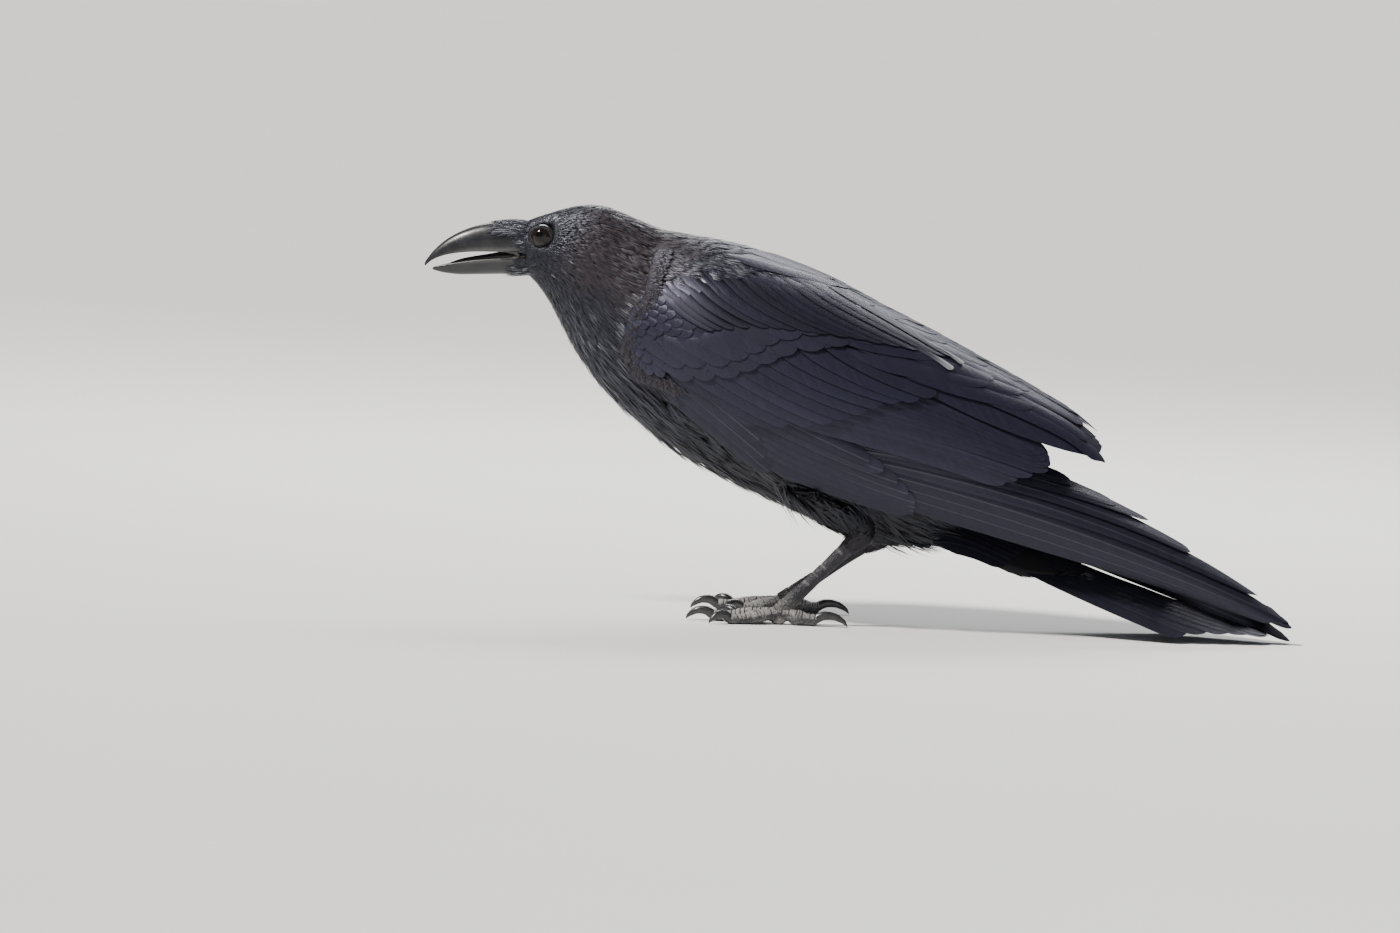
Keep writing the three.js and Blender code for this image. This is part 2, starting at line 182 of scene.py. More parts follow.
LEGS = {
    LEFT: {"ankle": (47, 57.5, 32), "ball": (-1, 37), "turn": 4},
    RIGHT: {"ankle": (59, 51, 32), "ball": (1, 38), "turn": -9},
}
BALL_HEIGHT = 7.4
BALL_RADIUS = 6.4
THIGH_TOP = (14, 27, 96)
TARSUS_RADII = [5.6, 4.6, 3.9, 3.9, 4.3, 5.0]
SOLE_SINK = 0.7
TOES = {
    "inner": {"angle": -27, "length": 33, "root": 4.4, "tip": 3.5, "claw": 16},
    "middle": {"angle": 2, "length": 43, "root": 4.6, "tip": 3.6, "claw": 17},
    "outer": {"angle": 29, "length": 36, "root": 4.3, "tip": 3.3, "claw": 14},
    "hind": {"angle": 184, "length": 25, "root": 4.8, "tip": 4.0, "claw": 21},
}

# Wing feathers in side view, from the lowest to the highest, which lies on top of the others.
# Primaries: tip x, tip z and how far the shaft bows up. The others are key feathers of a fan:
# root x, root z, tip x, tip z, bow, lower half width, upper half width.
PRIMARIES = [
    (289, 20, 2), (305, 15, 4), (318, 12.5, 8), (316, 15.5, 11), (296, 31, 13),
    (252, 57, 12), (224, 75, 9), (204, 85, 6), (177, 97, 4), (160, 101, 2),
]
PRIMARY_ROOTS = [(2, 98), (28, 124)]
SECONDARIES = [
    [-35, 137, 133, 95.5, 4, 6, 13],
    [-20, 150, 162, 106, 4, 6, 14],
    [10, 170, 152, 117, 3, 6, 14],
]
TERTIALS = [
    [44, 199, 191, 124, 5, 8, 9],
    [30, 190, 193, 119, -8, 12, 12],
]
GREATER_COVERTS = [
    [-88, 163, -12, 126, -1, 6, 9],
    [-66, 170, 16, 129, -3, 6.5, 10],
    [-50, 177, 41, 135, -4, 6.5, 10],
    [-33, 184, 63, 144, -5, 6.5, 10],
    [-5, 192, 87, 148, -5, 7, 10],
    [25, 196, 100, 157, -3, 6, 8],
]
PALE_COVERTS = [
    [62, 180, 98, 161.5, 1.5, 2.6, 3.0],
    [70, 181, 104, 164.5, 1.5, 2.3, 2.6],
]
PRIMARY_COVERTS = [
    [-38, 112, 77, 74.5, -3, 5, 8],
    [-40, 121, 79, 77.5, -4, 5, 8],
    [-43, 131, 78, 83.5, -4, 5, 8],
    [-45, 139, 66, 95, -3, 5, 8],
    [-46, 147, 50, 105.5, -1, 5, 8],
]
ALULA = [
    [-88, 151, -12, 96, 1, 6.5, 9],
    [-84, 158, -17, 110, 1, 6, 8],
    [-80, 164, -22, 125, 1, 6, 8],
]
MEDIAN_COVERTS = [
    [-92, 168, -61, 151, 0, 6, 7],
    [-62, 172, -29, 157, 0, 8, 9],
    [-42, 184, -6, 169, 0, 8.5, 10],
    [-10, 193, 30, 177, 0, 9, 10],
    [24, 198, 66, 178, 0, 9, 10],
]
UPPER_ROW = 8  # how far the second row of median coverts is above the first
PRIMARY_COVERT_COUNT = 8
ALULA_COUNT = 4
SECONDARY_COUNT = 8
TERTIAL_COUNT = 3
GREATER_COVERT_COUNT = 12
MEDIAN_COVERT_COUNTS = (10, 11)  # in the lower and the upper row
SCAPULAR_COUNT = 17
BED_DEPTHS = (4.5, 6.0)  # how deep the two faces of a wing's bed lie in the arm's form
LESSER_COVERTS_EDGE = [
    (-101, 172), (-98, 188), (-85, 198), (-66, 207), (-40, 205), (0, 200), (30, 194),
    (30, 181), (-8, 173), (-30, 162), (-62, 155), (-86, 153), (-98, 158),
]
LESSER_COVERT_TRIES = 9000
LESSER_COVERT_GAP = 8.4  # between two coverts of full size
LESSER_COVERT_LENGTH = 23
LESSER_COVERT_BOX = (-110, 150, 160, 70)  # left x, lowest z, width and height that their islands span

# The lower edge of the folded wing, which the flank's plumes fill out to.
WING_LOWER_EDGE = [(-84, 150), (-52, 126), (-12, 99), (40, 84)]
# The front edge of the folded wing, which the neck's plumes overlap.
WING_FRONT = [(-71, 143), (-83, 148), (-94, 151), (-101, 160), (-103, 172), (-101, 186), (-91, 197),
              (-90, 206), (-88, 216), (-85, 225)]
SCAPULARS = [
    [-84, 204, -50, 181, -2, 4.2, 4.4],
    [-66, 214, -18, 184, -3, 4.8, 5],
    [-46, 219, 22, 182, -4, 6, 6.5],
    [-26, 221, 66, 175, -3, 7.5, 8],
    [0, 219, 100, 168, 1, 8, 8],
]
# Inner tertials on the arm's form: root station and angle, tip station and angle, sway.
INNER_TERTIALS = [
    [5.2, 46, 9.5, 35, -2],
    [5.6, 12, 9.25, 5.5, 0],
]

# ---- Numbers ---------------------------------------------------------------------------------


def smooth(value, low, high):
    """0 below low, 1 above high, and an easy slope between."""
    share = np.clip((np.asarray(value, float) - low) / (high - low), 0, 1)
    return share * share * (3 - 2 * share)


def unit(vectors):
    """The vectors at length 1."""
    return vectors / np.maximum(np.linalg.norm(vectors, axis=-1, keepdims=True), 1e-9)


def dot(a, b):
    """Dot products of vectors, as a last column."""
    return (a * b).sum(-1, keepdims=True)


def all_round(count):
    """Even angles all the way round."""
    return np.linspace(0, 2 * np.pi, count, endpoint=False)


def between(rows, at):
    """Catmull-Rom through rows of numbers; at counts in rows from 0."""
    rows = np.asarray(rows, float)
    at = np.asarray(at, float)
    first = np.clip(np.floor(at).astype(int), 0, len(rows) - 2)
    f = (at - first)[..., None]
    a, b, c, d = (rows[np.clip(first + k, 0, len(rows) - 1)] for k in (-1, 0, 1, 2))
    slope_in = (c - a) / 2
    slope_out = (d - b) / 2
    bend = 2 * b - 2 * c + slope_in + slope_out
    rise = 3 * c - 3 * b - 2 * slope_in - slope_out
    return b + f * (slope_in + f * (rise + f * bend))


def inside(outline, x, z):
    """Which side-view points are inside an outline."""
    found = np.zeros(np.shape(x), bool)
    for (x0, z0), (x1, z1) in zip(outline, outline[1:] + outline[:1]):
        crosses = (z0 > z) != (z1 > z)
        reach = x0 + (x1 - x0) * (z - z0) / (z1 - z0 if z1 != z0 else 1e-9)
        found ^= crosses & (x < reach)
    return found


# ---- Meshes ----------------------------------------------------------------------------------


def grid_faces(rows, around, closed=True):
    """Quads over a grid of points; closed joins its last column to its first."""
    last = around if closed else around - 1
    r, k = np.meshgrid(np.arange(rows - 1), np.arange(last), indexing="ij")
    a = r * around + k
    b = r * around + (k + 1) % around
    return np.stack([a, b, b + around, a + around], -1).reshape(-1, 4)


def strip_faces(count, rows, around, flip):
    """Quads and end fans of many closed strips, each a run of rings."""
    quads = grid_faces(rows, around)
    fan = np.arange(around - 2)
    tip = (rows - 1) * around
    root_fan = np.stack([fan * 0 + around - 1, fan + 1, fan], -1)
    tip_fan = np.stack([fan * 0 + around - 1, fan, fan + 1], -1) + tip
    fans = np.concatenate([root_fan, tip_fan])
    if flip:
        quads = quads[:, ::-1]
        fans = fans[:, ::-1]
    starts = (np.arange(count) * rows * around)[:, None, None]
    return (quads + starts).reshape(-1, 4), (fans + starts).reshape(-1, 3)


def outward(points, faces):
    """The faces of a closed mesh, turned to point out."""
    volume = 0.0
    for part in faces:
        corners = points[part]
        for k in range(1, part.shape[1] - 1):
            triple = np.cross(corners[:, k], corners[:, k + 1])
            volume += (corners[:, 0] * triple).sum()
    return faces if volume > 0 else [part[:, ::-1] for part in faces]


def closed_loft(rings):
    """Points and faces of a closed skin over rings x around x 3 points."""
    rows, around = rings.shape[:2]
    points = np.concatenate([rings.reshape(-1, 3), [rings[0].mean(0), rings[-1].mean(0)]])
    k = np.arange(around)
    after = (k + 1) % around
    hub = 0 * k + rows * around
    end = (rows - 1) * around
    first = np.stack([hub, after, k], -1)
    last = np.stack([k + end, after + end, hub + 1], -1)
    return points, outward(points, [grid_faces(rows, around), first, last])


def padded(values):
    """Values for ring points, with the two cap middles added."""
    return np.concatenate([values.ravel(), [0.0, 0.0]])


def triangles_of(points, quads):
    """The corners of two triangles for each quad."""
    corners = points[quads]
    return np.concatenate([corners[:, [0, 1, 2]], corners[:, [0, 2, 3]]])


def read_mesh(mesh):
    """A mesh's points in drawn millimetres, and the points of its triangles."""
    mesh.calc_loop_triangles()
    spots = np.empty(len(mesh.vertices) * 3)
    mesh.vertices.foreach_get("co", spots)
    corners = np.empty(len(mesh.loop_triangles) * 3, np.int32)
    mesh.loop_triangles.foreach_get("vertices", corners)
    return spots.reshape(-1, 3) / MM - SHIFT, corners.reshape(-1, 3)


def mesh_object(name, points, faces, maps=None, values=None, rim=None):
    """An object in metres from points in millimetres, with UV maps and values given by point.

    rim marks the points on feathers' outlines, which are shaded as crisp edges."""
    loops = np.concatenate([f.ravel() for f in faces]).astype(np.int32)
    sizes = np.concatenate([np.full(len(f), f.shape[1]) for f in faces])
    starts = np.concatenate([[0], np.cumsum(sizes)[:-1]]).astype(np.int32)
    mesh = bpy.data.meshes.new(name)
    mesh.vertices.add(len(points))
    mesh.vertices.foreach_set("co", ((points + SHIFT) * MM).astype(np.float32).ravel())
    mesh.loops.add(len(loops))
    mesh.loops.foreach_set("vertex_index", loops)
    mesh.polygons.add(len(sizes))
    mesh.polygons.foreach_set("loop_start", starts)
    mesh.update(calc_edges=True)
    for map_name, places in (maps or {}).items():
        layer = mesh.uv_layers.new(name=map_name)
        layer.data.foreach_set("uv", places[loops].astype(np.float32).ravel())
    for value_name, numbers in (values or {}).items():
        attribute = mesh.attributes.new(value_name, "FLOAT", "POINT")
        attribute.data.foreach_set("value", numbers.astype(np.float32))
    if rim is not None:
        ends = np.empty(len(mesh.edges) * 2, np.int32)
        mesh.edges.foreach_get("vertices", ends)
        crisp = rim[ends.reshape(-1, 2)].all(1)
        mesh.attributes.new("sharp_edge", "BOOLEAN", "EDGE").data.foreach_set("value", crisp)
    piece = bpy.data.objects.new(name, mesh)
    bpy.context.scene.collection.objects.link(piece)
    return piece


def install(piece, material, slot, *replaced):
    """Gives a piece its material and its body, and hides the solids that it stands for; slot is not
    used.
    """
    piece.data.materials.append(material)
    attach(piece, "root")
    if replaced:
        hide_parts(*replaced)


def lofted(name, rings, material, slot, *replaced, **values):
    """A closed piece over rings; its values are numbers, or one for each ring point."""
    points, faces = closed_loft(rings)
    numbers = {
        key: np.full(len(points), value) if np.isscalar(value) else padded(value)
        for key, value in values.items()
    }
    install(mesh_object(name, points, faces, None, numbers), material, slot, *replaced)


# ---- Forms to lay feathers on ----------------------------------------------------------------


class Form:
    """A smooth surface: where points fall on it from the side or from near by."""

    def __init__(self, points, faces):
        self.tree = BVHTree.FromPolygons(points.tolist(), faces.tolist())

    def nearest(self, points):
        """The nearest places on the surface, and their normals."""
        found = [self.tree.find_nearest(p) for p in points.reshape(-1, 3).tolist()]
        spots = np.array([f[0][:] for f in found]).reshape(points.shape)
        normals = np.array([f[1][:] for f in found]).reshape(points.shape)
        return spots, normals

    def from_side(self, xz, side):
        """Places on the surface, seen from one side at x and z."""
        spots = []
        for x, z in xz.tolist():
            start = Vector((x, side * REACH, z))
            hit = self.tree.ray_cast(start, Vector((0, -side, 0)))[0]
            if hit is None:
                hit = self.tree.find_nearest(Vector((x, side * 5, z)))[0]
            spots.append(hit[:])
        return np.array(spots)


def oval_points(rows, at, drop, grow=0.0):
    """Points of a body or wing form; drop is the angle from the middle of the back."""
    row = between(rows, at)
    belly = row[..., 2:4]
    rise = row[..., 0:2] - belly
    half = row[..., 4]
    widest = row[..., 5]
    height = np.cos(drop)
    share = np.where(height > 0, widest + (1 - widest) * height, widest * (1 + height))
    along = share + grow / np.linalg.norm(rise, axis=-1) * (2 * share - 1)
    xz = belly + rise * along[..., None]
    y = np.sin(drop) * np.maximum(half + grow, 0.2)
    return np.stack([xz[..., 0], y, xz[..., 1]], -1)


def sag_at(x, side):
    """How much lower than drawn a wing hangs at x."""
    return RIGHT_SAG * smooth(x, SAG_FROM, WING_TIP_X) * (side == RIGHT)


def oval_grid(rows, fine, around, side=LEFT, grow=0.0):
    """A grid of points over a body or wing form, fine rows to a station."""
    at = np.linspace(0, len(rows) - 1, (len(rows) - 1) * fine + 1)
    drop = all_round(around)
    points = oval_points(rows, *np.meshgrid(at, drop, indexing="ij"), grow)
    points[..., 2] -= sag_at(points[..., 0], side)
    return points


def oval_form(rows, side):
    """The form of a folded wing."""
    points = oval_grid(rows, 14, 128, side)
    return Form(points.reshape(-1, 3), grid_faces(*points.shape[:2])[:, ::-1])


def tail_height(x, y):
    """Height of the tail's upper side, a low roof."""
    stations = np.interp(x, [row[0] for row in TAIL], np.arange(len(TAIL)))
    row = between(TAIL, stations)
    share = np.abs(y) / row[..., 3]
    return np.maximum(row[..., 1] - (row[..., 1] - row[..., 2]) * share**1.6, 0.5)


def tail_form():
    """The upper side of the tail."""
    x, y = np.meshgrid(np.linspace(86, 312, 160), np.linspace(-42, 42, 70), indexing="ij")
    points = np.stack([x, y, tail_height(x, y)], -1)
    return Form(points.reshape(-1, 3), grid_faces(*x.shape, closed=False)[:, ::-1])


# Dense body stations, which tell where along the body a point is.
DENSE_AT = np.linspace(0, len(BODY) - 1, 321)
DENSE = between(BODY, DENSE_AT)


def body_place(points):
    """Station number, angle from the middle of the back and height as a share of the station's."""
    x = points[:, 0][:, None]
    z = points[:, 2][:, None]
    back_x, back_z, belly_x, belly_z = DENSE[:, :4].T
    turn = (back_x - belly_x) * (z - belly_z) - (back_z - belly_z) * (x - belly_x)
    past = turn < 0
    index = np.clip(past.sum(1), 1, len(DENSE_AT) - 1)
    rows = np.arange(len(points))
    a = turn[rows, index - 1]
    b = turn[rows, index]
    share = np.clip(a / np.where(np.abs(a - b) < 1e-9, 1e-9, a - b), 0, 1)
    at = DENSE_AT[index - 1] + share * (DENSE_AT[1] - DENSE_AT[0])
    row = between(BODY, at)
    rise = row[:, 0:2] - row[:, 2:4]
    foot = points[:, [0, 2]] - row[:, 2:4]
    height = (foot * rise).sum(1) / (rise**2).sum(1)
    widest = row[:, 5]
    cosine = np.where(height > widest, (height - widest) / (1 - widest), height / widest - 1)
    drop = np.arctan2(np.abs(points[:, 1]) / row[:, 4], cosine)
    return at, drop, height


def body_unwrap(points):
    """Place on an unwrap of the body round its length, split along the belly, with a margin."""
    at, drop, _ = body_place(points)
    turn = np.where(points[:, 1] < 0, -drop, drop)
    return np.stack([0.5 + 0.47 * turn / np.pi, 0.03 + 0.94 * at / (len(BODY) - 1)], -1)


PARTING = 12.0  # how near the middle of the body the coat turns to lie straight back


def body_lie(points, normals):
    """The lie of the coat: from the bill back along the body, in the surface."""
    at, _, height = body_place(points)
    ahead = between(BODY, np.clip(at + 0.1, 0, len(BODY) - 1))
    behind = between(BODY, np.clip(at - 0.1, 0, len(BODY) - 1))
    flow = ahead - behind
    height = np.clip(height, 0, 1)[:, None]
    xz = flow[:, 0:2] * height + flow[:, 2:4] * (1 - height)
    half = flow[:, 4:5] * np.clip(points[:, 1:2] / PARTING, -1, 1)
    lie = np.concatenate([xz[:, :1], half, xz[:, 1:]], 1)
    return in_surface(lie, normals)


def in_surface(vectors, normals):
    """Directions, laid flat in a surface."""
    return unit(vectors - normals * dot(vectors, normals))


def swung(flow, normals, angles):
    """Directions in a surface, each turned aside by its own angle."""
    return flow * np.cos(angles)[:, None] + np.cross(normals, flow) * np.sin(angles)[:, None]


# ---- Feathers --------------------------------------------------------------------------------


class Coat:
    """Closed feathers, gathered for one piece."""

    def __init__(self):
        self.points = []
        self.quads = []
        self.fans = []
        self.bake = []
        self.vane = []
        self.tone = []
        self.warm = []
        self.rim = []
        self.total = 0

    def add(self, rings, across, along, bake, tone, warm, rim, flip=False):
        """rings is feathers x rows x points x 3; across and along are places on the vane in
        millimetres, bake is the place on the bake map, tone and warm are one for each feather, and
        rim is rows x points, true on the outline."""
        count, rows, around = rings.shape[:3]
        quads, fans = strip_faces(count, rows, around, flip)
        self.points.append(rings.reshape(-1, 3))
        self.quads.append(quads + self.total)
        self.fans.append(fans + self.total)
        self.bake.append(bake.reshape(-1, 2))
        self.vane.append(np.stack([across, along], -1).reshape(-1, 2) / 100)
        self.tone.append(np.repeat(np.broadcast_to(tone, count), rows * around))
        self.warm.append(np.repeat(np.broadcast_to(warm, count), rows * around))
        self.rim.append(np.tile(rim.ravel(), count))
        self.total += count * rows * around

    def piece(self, name, material, slot, *replaced):
        """Makes the piece, clear of the floor."""
        points = np.concatenate(self.points)
        points[:, 2] = np.maximum(points[:, 2], COAT_GAP)
        faces = [np.concatenate(self.quads), np.concatenate(self.fans)]
        maps = {"OFBake": np.concatenate(self.bake), "vane": np.concatenate(self.vane)}
        values = {"tone": np.concatenate(self.tone), "warm": np.concatenate(self.warm)}
        made = mesh_object(name, points, faces, maps, values, np.concatenate(self.rim))
        install(made, material, slot, *replaced)


# Places across a vane, -1 and 1 at its edges: close together there, and on both sides of the shaft.
FINE_COLUMNS = np.array([-1, -0.94, -0.78, -0.5, -0.09, 0, 0.09, 0.5, 0.78, 0.94, 1])
COLUMNS = np.array([-1, -0.92, -0.7, -0.37, 0, 0.37, 0.7, 0.92, 1])


def vane(coat, form, side, line, lower, upper, cell, rng, *, lift=0.0, rise=0.0, tilt=0.0,
         tuck=1.2, taper=0.15, blunt=1.0, ridge=0.3, thick=0.55, camber=0.15, curl=0.0,
         rows=24, columns=COLUMNS, ragged=0.0, tone=0.5, warm=0.0, root=0.2):
    """Lays one feather with a shaft along a line on a form. cell is its place on the bake map."""
    steps = np.linspace(0, 1, len(line))
    forward = unit(np.gradient(line, axis=0))
    _, out = form.nearest(line)
    down = unit(np.cross(forward, out)) * -side
    length = np.linalg.norm(np.diff(line, axis=0), axis=1).sum()
    u = columns
    t = np.linspace(0, 1, rows)
    half = np.where(u > 0, lower, upper)
    reach = 1 - blunt * half.max() / length * (1 - np.sqrt(1 - (0.985 * u) ** 2))
    reach -= ragged * rng.random(len(u)) * (np.abs(u) > 0.2)
    share = t[:, None] * reach
    width = (root + (1 - root) * smooth(share, 0, 0.35)) * (1 - taper * smooth(share, 0.35, 1))
    across = u * half * width
    spots = np.stack([np.interp(share, steps, line[:, c]) for c in range(3)], -1)
    sideways = np.stack([np.interp(share, steps, down[:, c]) for c in range(3)], -1)
    spots, facing = form.nearest(spots + sideways * across[..., None])
    normals = unit(np.cross(np.gradient(spots, axis=1), np.gradient(spots, axis=0)))
    normals *= np.sign(dot(normals, facing))
    height = lift + rise * share + tilt * u - tuck * (1 - smooth(share, 0, 0.3))
    height += camber * (1 - u * u) + ridge * (u == 0) * (1 - 0.6 * share)
    height -= curl * smooth(np.abs(u), 0.6, 1)
    top = spots + normals * height[..., None]
    middle = int(np.argmin(np.abs(u)))
    under = top[:, middle] - normals[:, middle] * (thick * (1 - 0.5 * t))[:, None]
    rings = np.concatenate([top, under[:, None]], 1)[None]
    along = share * length
    across = np.concatenate([across, across[:, middle : middle + 1]], 1)[None]
    along = np.concatenate([along, along[:, middle : middle + 1]], 1)[None]
    x0, y0, wide, high = cell
    bake_u = x0 + wide * np.concatenate([(u + 1) / 2, [0.5]])[None, :] + 0 * along[0]
    bake_v = y0 + high * np.broadcast_to(t[:, None], along[0].shape)
    bake = np.stack([bake_u, bake_v], -1)[None]
    rim = np.zeros(along.shape[1:], bool)
    rim[:, [0, -2]] = True
    rim[[0, -1]] = True
    coat.add(rings, across, along, bake, tone, warm, rim, flip=side == RIGHT)


def cells(count, tall=4):
    """Islands of the bake map for that many long feathers."""
    across = math.ceil(math.sqrt(count * tall))
    down = math.ceil(count / across)
    wide = 0.96 / across
    high = 0.96 / down
    return [(0.02 + (k % across) * wide, 0.02 + (k // across) * high, wide * 0.9, high * 0.94)
            for k in range(across * down)]


def bowed(form, side, root, tip, bow, count=26):
    """A shaft line on a form, drawn in side view between root and tip."""
    t = np.linspace(0, 1, count)
    x = root[0] + (tip[0] - root[0]) * t
    z = root[1] + (tip[1] - root[1]) * t + 4 * bow * t * (1 - t)
    return form.from_side(np.stack([x, z - sag_at(x, side)], -1), side)


def laid(rows, side, root, tip, sway=0.0):
    """A shaft line between two places on a form, each a station and degrees from the back's middle."""
    t = np.linspace(0, 1, 24)
    at = root[0] + (tip[0] - root[0]) * t
    drop = side * np.radians(root[1] + (tip[1] - root[1]) * t + 4 * sway * t * (1 - t))
    line = oval_points(rows, at, drop)
    line[:, 2] -= sag_at(line[:, 0], side)
    return line


def fan(keys, count):
    """Feathers between key feathers."""
    return between(keys, np.linspace(0, len(keys) - 1, count))


def vane_row(coat, form, side, feathers, rng, islands, *, jitter=0.6, tones=(0.35, 0.65), **shape):
    """Lays a fan of feathers, from the lowest to the one on top."""
    for x0, z0, x1, z1, bow, lower, upper in feathers:
        nudge = rng.normal(0, jitter, 4)
        line = bowed(form, side, (x0 + nudge[0], z0 + nudge[1] * 0.5),
                     (x1 + nudge[2] * 1.5, z1 + nudge[3] * 0.3), bow)
        tone = rng.uniform(*tones)
        vane(coat, form, side, line, lower, upper, islands.pop(0), rng, tone=tone, **shape)


def march(form, starts, lie, lengths, steps):
    """Walks over a form from each start along the lie; returns the lines and their normals."""
    spots, normals = form.nearest(starts)
    line = [spots]
    facing = [normals]
    for _ in range(steps):
        ahead = spots + lie(spots, normals) * (lengths / steps)[:, None]
        spots, normals = form.nearest(ahead)
        line.append(spots)
        facing.append(normals)
    return np.stack(line, 1), np.stack(facing, 1)


def along_lines(values, share):
    """Values at a share of each line, straight between its knots."""
    count, knots = values.shape[:2]
    lower = np.clip((share * (knots - 1)).astype(int), 0, knots - 2)
    part = (share * (knots - 1) - lower)[..., None]
    index = np.arange(count)[:, None]
    return values[index, lower] * (1 - part) + values[index, lower + 1] * part


PATCH = 0.003  # how large a small feather's island on the bake map is
CREST = 0.26  # how high the middle of a blade is, as a share of its half width
TRIES = 4.5  # how many spots are tried for each that would fit


def plumes(coat, line, normals, width, depth, blades, rng, places, *, tone, warm, tip=0.3,
           base=-0.6, rows=4, fine=1.25, stray=0.12, thick=0.3, unrest=1.0):
    """Soft feathers, each a spray of narrow closed blades that overlap along its line."""
    count = len(line)
    t = np.linspace(0, 1, rows)
    length = np.linalg.norm(np.diff(line, axis=1), axis=2).sum(1)
    forward = unit(np.gradient(line, axis=1))
    sideways = unit(np.cross(forward, normals))
    for offset in np.linspace(-1, 1, blades):
        reach = 1 - tip * offset**2 - stray * rng.random(count)
        share = t[None, :] * reach[:, None]
        right = unit(along_lines(sideways, share))
        up = unit(along_lines(normals, share))
        shift = (offset + rng.normal(0, 0.12, count)) * width
        lateral = shift[:, None] * (0.25 + 0.75 * smooth(share, 0, 0.6))
        lateral += (rng.normal(0, 0.1 * unrest, count) * width)[:, None] * share**2
        height = base + (depth - base)[:, None] * share**0.8
        height += (rng.normal(0, 0.12 * unrest, count) * depth)[:, None] * share
        height += 0.12 * (1 - offset**2)
        centre = along_lines(line, share) + right * lateral[..., None] + up * height[..., None]
        half = (width * fine / blades)[:, None] * np.array([0.7, *([1.0] * (rows - 2)), 0.06])
        half = half * (1 - 0.35 * t**2)
        roof = np.minimum(half * CREST, thick)
        left = centre - right * half[..., None] - up * (roof * 0.5)[..., None]
        crest = centre + up * roof[..., None]
        far = centre + right * half[..., None] - up * (roof * 0.5)[..., None]
        rings = np.stack([left, crest, far], 2)
        across = np.stack([lateral - half, lateral, lateral + half], 2)
        along = np.repeat((share * length[:, None])[..., None], 3, 2)
        patch_across = across / (2 * width[:, None, None] + 1e-6)
        patch = np.stack([patch_across, share[..., None] - 0.5 + 0 * across], -1)
        bake = places[:, None, None, :] + PATCH * np.clip(patch, -0.5, 0.5)
        rim = np.array([[True, False, True]] * rows)
        blade_tone = np.clip(tone + rng.normal(0, 0.14, count), 0, 2)
        coat.add(rings, across, along, bake, blade_tone, warm, rim)


def tufts(coat, form, starts, lie, lengths, steps, width, depth, blades, rng, **look):
    """Adds soft feathers that start at places on a form and follow a lie over it."""
    line, normals = march(form, starts, lie, lengths, steps)
    plumes(coat, line, normals, width, depth, blades, rng, body_unwrap(starts), **look)


def scattered(corners, spacing_of, seed, keep=None):
    """Seeded spots on triangles, no two nearer to each other than the spacing there."""
    rng = np.random.default_rng(seed)
    edge_a = corners[:, 1] - corners[:, 0]
    edge_b = corners[:, 2] - corners[:, 0]
    area = np.linalg.norm(np.cross(edge_a, edge_b), axis=1) / 2
    middle = corners.mean(1)
    wanted = spacing_of(middle)
    if keep is not None:
        area = area * keep(middle)
    share = area / wanted**2
    count = int(share.sum() * TRIES)
    pick = rng.choice(len(area), count, p=share / share.sum())
    a, b = rng.random((2, count, 1))
    over = a + b > 1
    a = np.where(over, 1 - a, a)
    b = np.where(over, 1 - b, b)
    spots = corners[pick, 0] + edge_a[pick] * a + edge_b[pick] * b
    spacing = wanted[pick]
    cell = float(wanted.max())
    home = np.floor(spots / cell).astype(int)
    taken = {}
    kept = []
    for k, (hx, hy, hz) in enumerate(home.tolist()):
        limit = spacing[k] ** 2
        around = product((hx - 1, hx, hx + 1), (hy - 1, hy, hy + 1), (hz - 1, hz, hz + 1))
        gaps = (spots[other] - spots[k] for place in around for other in taken.get(place, ()))
        if all(gap[0] * gap[0] + gap[1] * gap[1] + gap[2] * gap[2] >= limit for gap in gaps):
            taken.setdefault((hx, hy, hz), []).append(k)
            kept.append(k)
    return spots[kept]


# ---- Finishes --------------------------------------------------------------------------------


class Wire:
    """An output socket; arithmetic on it adds Math nodes to its finish."""

    def __init__(self, finish, socket):
        self.finish = finish
        self.socket = socket

    def maths(self, operation, first, second=0.0):
        """A Math node on two values."""
        return self.finish.add("ShaderNodeMath", {"operation": operation}, {0: first, 1: second})

    def __add__(self, other):
        return self.maths("ADD", self, other)

    __radd__ = __add__

    def __mul__(self, other):
        return self.maths("MULTIPLY", self, other)

    __rmul__ = __mul__

    def __sub__(self, other):
        return self.maths("SUBTRACT", self, other)

    def __rsub__(self, other):
        return self.maths("SUBTRACT", other, self)

    def __abs__(self):
        return self.maths("ABSOLUTE", self)

    def rising(self, low, high):
        """0 below low and 1 above high, with an easy slope."""
        settings = {"interpolation_type": "SMOOTHSTEP"}
        sockets = {"Value": self, "From Min": low, "From Max": high}
        return self.finish.add("ShaderNodeMapRange", settings, sockets)


